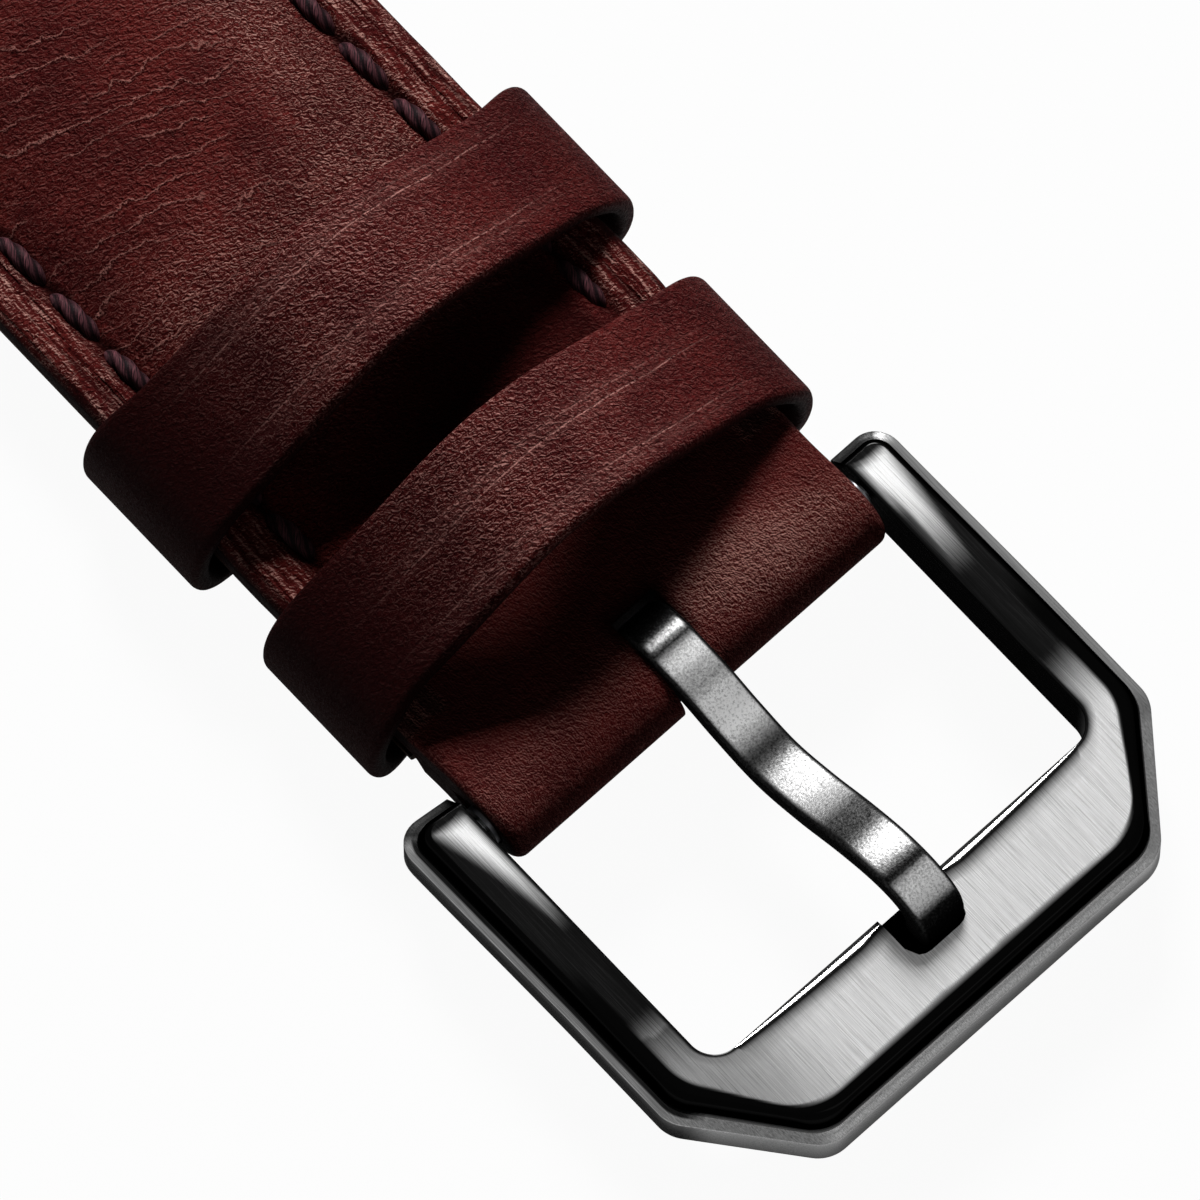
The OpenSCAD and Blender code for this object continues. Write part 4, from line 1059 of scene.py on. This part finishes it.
# Painted dark reflections and shade on the walls and facets: darker at the legs' rear ends and towards the minus y
# side.
at_rear = smooth(-0.9, -1.6, plain[:, 0])
from_left = smooth(-11.6, -12.7, plain[:, 1])
side_dark = np.maximum(0.22 + 0.58 * from_left, at_rear * 0.97)
facet_dark = np.maximum(0.4 - 0.1 * from_left + 0.2 * smooth(12.2, 12.7, plain[:, 1]), at_rear * np.where(plain[:, 1] < 0, 0.97, 0.99 - 0.0 * smooth(11.4, 12.6, plain[:, 1])))
ring(foot, 0.0, 1.0, 0.3)
ring(outer_line(0.2, 1.0, 1.4), 0.0, 0.9, 0.5)
ring(outer_line(0.03, 1.2, 1.6), 0.15, 0.9, 0.5)
ring(outer_line(0.0, 1.2, 1.6), 0.35, side_dark, 0.2)
ring(outer_line(0.0, 1.2, 1.6), frame_t - band_h - facet_h - 0.08, side_dark, 0.2)
ring(outer_line(0.03, 1.15, 1.6), frame_t - band_h - facet_h, facet_dark, 0.1)
ring(outer_line(0.1, 1.1, 1.6), frame_t - band_h - facet_h + 0.04, facet_dark, 0.0)
ring(outer_line(0.24, 1.0, 1.7), frame_t - band_h - facet_h * 0.6, facet_dark, 0.0)
inner_dark = np.maximum(facet_dark, 0.97 * from_left)
ring(outer_line(0.3, 1.0, 1.7), frame_t - band_h - facet_h * 0.4, inner_dark, 0.0)
ring(outer_line(facet_w - 0.04, 0.9, 1.8), frame_t - band_h - 0.02, inner_dark, 0.0)
# The rounded polished band is painted black, as painted dark reflection.
for a in np.radians([18, 36, 54, 72, 84]):
    k = 1 - math.cos(a)
    ring(outer_line(facet_w + band_w * k, 0.9 - 0.3 * k, 1.8 + 1.2 * k), frame_t - band_h * (1 - math.sin(a)), 1.0, 1)
# The brushed top: painted reflection as top_shade gives it, with a painted black rim along the band from the legs'
# middles forward.
for share in shares:
    line = inner_top + (band_edge - inner_top) * share
    from_band = (1 - share) * width
    rim = np.maximum(smooth(0.05, 0.0, from_band), smooth(0.56, 0.36, from_band) * smooth(6, 9, line[:, 0]))
    ring(line, frame_t, np.maximum(top_shade(line, share), rim), 0.9 * rim, share)
# Near the window the top darkens in steps to black at its inner edge: painted dark reflection.
for beyond, darkness in ((0.62, 0.3), (0.35, 0.7), (0.12, 1.0), (0.0, 1.0)):
    share = (lens + np.where(on_front, beyond, np.where(station_y > 0, 0.6, 0.4) * beyond)) / width
    line = inner_top + (band_edge - inner_top) * share[:, None]
    ring(line, frame_t, np.maximum(darkness, top_shade(line, share)), 0.2, 0.1)
# On the front bar the lens bevel stays bright between painted black lines; elsewhere the inner edge is painted black.
for part, white in ((0.85, 1), (0.52, 1), (0.44, 0), (0.0, 0)):
    share = part * lens / width
    ring(inner_top + (band_edge - inner_top) * share[:, None], frame_t - 0.24 * lens * (1 - part),
         np.where(on_front & (white > 0), 0.0, 1.0), 0.88, 0.0)
ring(inner_top, frame_t - 0.24 * lens - 0.06, 1.0, 0.3, 0.0)
ring(foot, 0.0, 1.0, 0.3)

plan, z = np.stack(rings, 1), np.stack(heights, 1).copy()
dark, polish, share_of = np.stack(dark, 1).copy(), np.stack(polish, 1).copy(), np.stack(share_of, 1)
inside_notch = np.zeros(n_stations, bool)
middle = before_front + n_front // 2
inside_notch[middle - 6:middle + 7] = True
# The notch is painted black: painted shade.
sunk = inside_notch[:, None] & (share_of <= notch_share + 1e-6)
z[sunk], dark[sunk], polish[sunk] = frame_t - notch_d, 1.0, 1
y = plan[..., 1].copy()
corner_r = 0.75
past = np.maximum(np.minimum(np.abs(y), notch_half) - (notch_half - corner_r), 0)
round_off = (corner_r - np.sqrt(np.maximum(corner_r**2 - past**2, 0))) * smooth(2.8, notch_half, np.abs(y))
ease = np.where(share_of <= notch_share + 2e-4, share_of / notch_share, smooth(0.95, notch_share, share_of))
plan[..., 0] -= np.where(on_front[:, None] & ~np.isnan(share_of), round_off * ease, 0)
plan[..., 0] += np.where(y < 0, 0.12 * (y + 10.25) - 0.02, -0.07) * smooth(4.0, -1.8, plan[..., 0])
plan[..., 1] -= 0.12 * smooth(10.4, 12.8, np.abs(y)) * smooth(9.0, -1.8, plan[..., 0])
points = np.concatenate([plan, z[..., None]], -1)
n, m = points.shape[:2]
quads = grid_faces(n, m, round_columns=True)
k = np.arange(m // 2)
cap = np.stack([k, k + 1, m - 2 - k, m - 1 - k], -1)
quads = np.concatenate([quads, cap, (n - 1) * m + cap[:, ::-1]])
frame_z = bar[2] - 2.3
buckle = new_piece("buckle_loop", points.reshape(-1, 3), quads, brushed, "buckle", ["buckle_frame"], "brushed_steel",
                   at=(bar[0], 0, frame_z), sharp=35, dark=dark.ravel(), polish=polish.ravel())

# %% [markdown]
# ## Tang
#
# The tang is a strip of steel that is rolled round the bar at one end, dips to the middle of the window, rises over the
# front bar and hooks down into its notch. Its middle line is three quarters of a circle and then a curve through a few
# points, and a rounded rectangle is carried along it. The blasted finish scatters the light, and the dark bands where
# the strip turns away from the light are painted reflection and shade, from a table of darkness along it.

# %% Tang
tang_w, tang_t, tang_dip, tang_hump = 2.2, 1.3, 0.85, 3.5
tang_reach = window_x + notch_l - 0.25 - tang_t / 2
low = tang_dip - tang_t / 2
rise = tang_hump - tang_t / 2 - low
eye = arc(bore_r + tang_t / 2, -62, -270, 40)
knots = np.array([
    [0, bore_r + tang_t / 2], [0.128 * tang_reach, bore_r + tang_t / 4], [0.248 * tang_reach, low + 0.17 * rise],
    [0.396 * tang_reach, low], [0.544 * tang_reach, low + 0.26 * rise], [0.691 * tang_reach, low + 0.7 * rise],
    [0.819 * tang_reach, low + 0.97 * rise], [0.919 * tang_reach, low + 0.96 * rise],
    [0.985 * tang_reach, low + 0.66 * rise], [tang_reach, 0.35]])


def open_curve(points, steps):
    """An open Catmull-Rom curve through points, its end points counted twice."""
    padded = np.concatenate([points[:1], points, points[-1:]])
    p, q, r, s = (padded[k:len(padded) - 3 + k, None] for k in range(4))
    t = np.linspace(0, 1, steps, endpoint=False)[None, :, None]
    curve = 0.5 * (2 * q + (r - p) * t + (2 * p - 5 * q + 4 * r - s) * t**2 + (3 * q - p - 3 * r + s) * t**3)
    return np.concatenate([curve.reshape(-1, 2), points[-1:]])


middle_line = spread(np.concatenate([eye, open_curve(knots, 16)[1:]]), 190)
up = outward(middle_line)
gone = np.concatenate([[0], np.cumsum(np.linalg.norm(np.diff(middle_line, axis=0), axis=1))])
r = 0.3
corner = arc(r, 0, 90, 5)
half = np.array([tang_w / 2, tang_t / 2])
section = np.concatenate([corner + half - r, (corner[::-1] * [-1, 1]) + (half - r) * [-1, 1],
                          -corner - half + r, (corner[::-1] * [1, -1]) + (half - r) * [1, -1]])
to_end = np.clip((gone[-1] - gone) / 0.5, 0, 1)
shrink = np.sqrt(1 - (1 - to_end) ** 2) * 0.55 + 0.45
side, lift = section[None, :, 0] * np.where(to_end < 1, 0.25 * shrink + 0.75, 1)[:, None], section[None, :, 1] * shrink[:, None]
points = np.stack([middle_line[:, None, 0] + up[:, None, 0] * lift, side + 0 * lift,
                   middle_line[:, None, 1] + up[:, None, 1] * lift], -1)
n, m = points.shape[:2]
quads = grid_faces(n, m, round_columns=True)[:, ::-1]
k = np.arange(m // 2 - 1)
cap = np.stack([k, k + 1, m - 2 - k, m - 1 - k], -1)
quads = np.concatenate([quads, cap[:, ::-1], (n - 1) * m + cap])
uv = np.stack([np.broadcast_to(gone[:, None], (n, m)), side + 0 * lift], -1).reshape(-1, 2) / 1000
on_top = section[None, :, 1] > tang_t / 2 - 0.03
# Painted dark reflections in bands along the tang's top: its darkness listed by x.
dark_at = np.array([
    [-1.1, 1], [-0.85, 0.99], [-0.7, 0.95], [-0.5, 0.7], [-0.38, 0.65], [-0.2, 0.92], [0, 0.99], [0.1, 0.97], [0.35, 0.45],
    [0.6, 0.2], [0.9, 0.2], [1.3, 0.5], [2, 0.6], [2.35, 0.35], [2.6, 0.05], [4, 0.02], [4.4, 0.35], [4.8, 0.68], [5.1, 0.9],
    [5.35, 0.965], [5.8, 0.93], [6.1, 0.88], [6.5, 0.78], [7, 0.66], [7.8, 0.62], [8.6, 0.68], [9.05, 0.76], [9.3, 0.88],
    [9.6, 0.96], [10.2, 0.982], [10.6, 0.98], [10.9, 0.94], [11.4, 0.74], [11.8, 0.64], [12.2, 0.68], [12.5, 0.8],
    [12.8, 0.95], [12.98, 1], [13.2, 1], [13.55, 0.42], [13.8, 0.3], [14.1, 0.1], [14.5, 0.05], [14.7, 0.3], [14.9, 0.95],
    [15, 1]])
skin_x = middle_line[:, 0] + up[:, 0] * tang_t / 2
banded = np.interp(skin_x, *dark_at.T)[:, None]
# The tang's sides and eye are painted near black.
tang_dark = np.where(on_top & (middle_line[:, 1] > -0.8)[:, None], banded, 0.97)
points[..., 1] += 0.02 + 0.02 * np.maximum(points[..., 0], 0)
tang = new_piece("tang_strip", points.reshape(-1, 3), quads, blasted, "tang", ["buckle_tang"], "blasted_steel",
                 at=(bar[0], 0, bar[2]), uv=uv, sharp=50, dark=tang_dark.ravel(), polish=np.zeros(n * m))

# %% [markdown]
# ## Spring bars
#
# The bars keep their own nodes, which are round tubes and tips of the right size. They only get a finish: steel that
# was turned on a lathe has fine rings round it, which noise drawn out along nothing but the axis gives.


# %% Steel of the bars
def turned_steel(name, colour, worn, groove, roughness):
    """Steel with turning rings: noise that changes fast along the bar and slowly round it."""
    material, tree, shader = new_material(name)
    where = add(tree, "TexCoord").outputs["Object"]
    rings_round = noise(tree, where, groove, 3.0, stretch=(0.1, 1, 0.1))
    tree.links.new(tint(tree, ramp(tree, rings_round, 0.3, 0.7), colour, worn), shader.inputs["Base Color"])
    tree.links.new(ramp(tree, rings_round, 0.3, 0.7, roughness - 0.06, roughness + 0.08), shader.inputs["Roughness"])
    tree.links.new(add(tree, "Bump", Height=rings_round, Distance=0.000006).outputs[0], shader.inputs["Normal"])
    shader.inputs["Metallic"].default_value = 1.0
    return material


# The tubes' steel is made dark, as painted shade for the tubes in shadow between the strap and the frame.
tube_steel = turned_steel("turned tube", (0.2, 0.2, 0.21), (0.1, 0.1, 0.11), 0.00016, 0.34)
tip_steel = turned_steel("turned tip", (0.62, 0.63, 0.64), (0.45, 0.46, 0.47), 0.0001, 0.22)
spring_steel = turned_steel("spring wire", (0.36, 0.37, 0.39), (0.24, 0.25, 0.26), 0.0004, 0.35)
for name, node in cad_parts.items():
    finish = {"tube": tube_steel, "tip": tip_steel, "ring": spring_steel}.get(name.rsplit("_")[-1].replace("spring", "ring"))
    if "_bar_" in name:
        node.data.materials.clear()
        node.data.materials.append(finish)
        print(name, "is", finish.name)

# %% [markdown]
# ## Studio
#
# A white floor that keeps a soft shadow, a dim grey room and two soft lamps. The key lamp stands behind the strap
# and to its left edge's far side, so that the keepers throw their shadow towards the buckle. The floor is shown white
# to the camera and to what mirrors it, which keeps the lamps from having to make it so.

# %% Floor
side = np.linspace(-4, 4, 9) * 1000
fx, fy = np.meshgrid(side, side, indexing="ij")
floor_mesh = bpy.data.meshes.new("floor")
floor_mesh.from_pydata(np.stack([fx, fy, 0 * fx], -1).reshape(-1, 3) / 1000, [], grid_faces(9, 9).tolist())
floor = bpy.data.objects.new("floor", floor_mesh)
bpy.context.scene.collection.objects.link(floor)
floor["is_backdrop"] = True
paper, tree, shader = new_material("white paper")
shader.inputs["Base Color"].default_value = (0.6, 0.6, 0.6, 1)
shader.inputs["Roughness"].default_value = 0.9
seen = add(tree, "LightPath").outputs
direct = maths(tree, "MAXIMUM", maths(tree, "MAXIMUM", seen["Is Camera Ray"], seen["Is Transmission Ray"]),
               maths(tree, "MULTIPLY", seen["Is Glossy Ray"], 0.3))
glow = add(tree, "Emission", (1, 1, 1, 1), 1.0)
both = add(tree, "MixShader", maths(tree, "MULTIPLY", direct, 0.95), shader.outputs[0], glow.outputs[0])
tree.links.new(both.outputs[0], tree.nodes["Material Output"].inputs["Surface"])
floor_mesh.materials.append(paper)
print("floor", floor_mesh.name)


# %% Lamps and room
def soft_lamp(name, direction, distance, size, watts, aim_at=(0.08, 0, 0.005)):
    """A square lamp that looks at a point from a direction."""
    lamp = bpy.data.objects.new(name, bpy.data.lights.new(name, "AREA"))
    lamp.data.shape, lamp.data.size, lamp.data.energy = "SQUARE", size, watts
    way = Vector(direction).normalized()
    lamp.location = Vector(aim_at) + way * distance
    lamp.rotation_euler = (-way).to_track_quat("-Z", "Y").to_euler()
    bpy.context.scene.collection.objects.link(lamp)
    return lamp


soft_lamp("key", (-0.6, 0.43, 0.68), 1.0, 0.3, 15)
soft_lamp("fill", (0.5, 0.1, 0.85), 1.3, 0.5, 0.6)
world = bpy.data.worlds.new("room")
world.use_nodes = True
room = world.node_tree
room.nodes["Background"].inputs[0].default_value = (1, 1, 1, 1)
mirrored = add(room, "LightPath").outputs["Is Glossy Ray"]
room.links.new(maths(room, "MULTIPLY_ADD", mirrored, 0.22, 0.03), room.nodes["Background"].inputs[1])
bpy.context.scene.world = world

# %% Sizes
seen_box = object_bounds()
for word, (low, high) in (("cad", cad_box), ("visual", seen_box)):
    print(word, "box in mm:", [round(v * 1000, 2) for v in (*low, *high)])
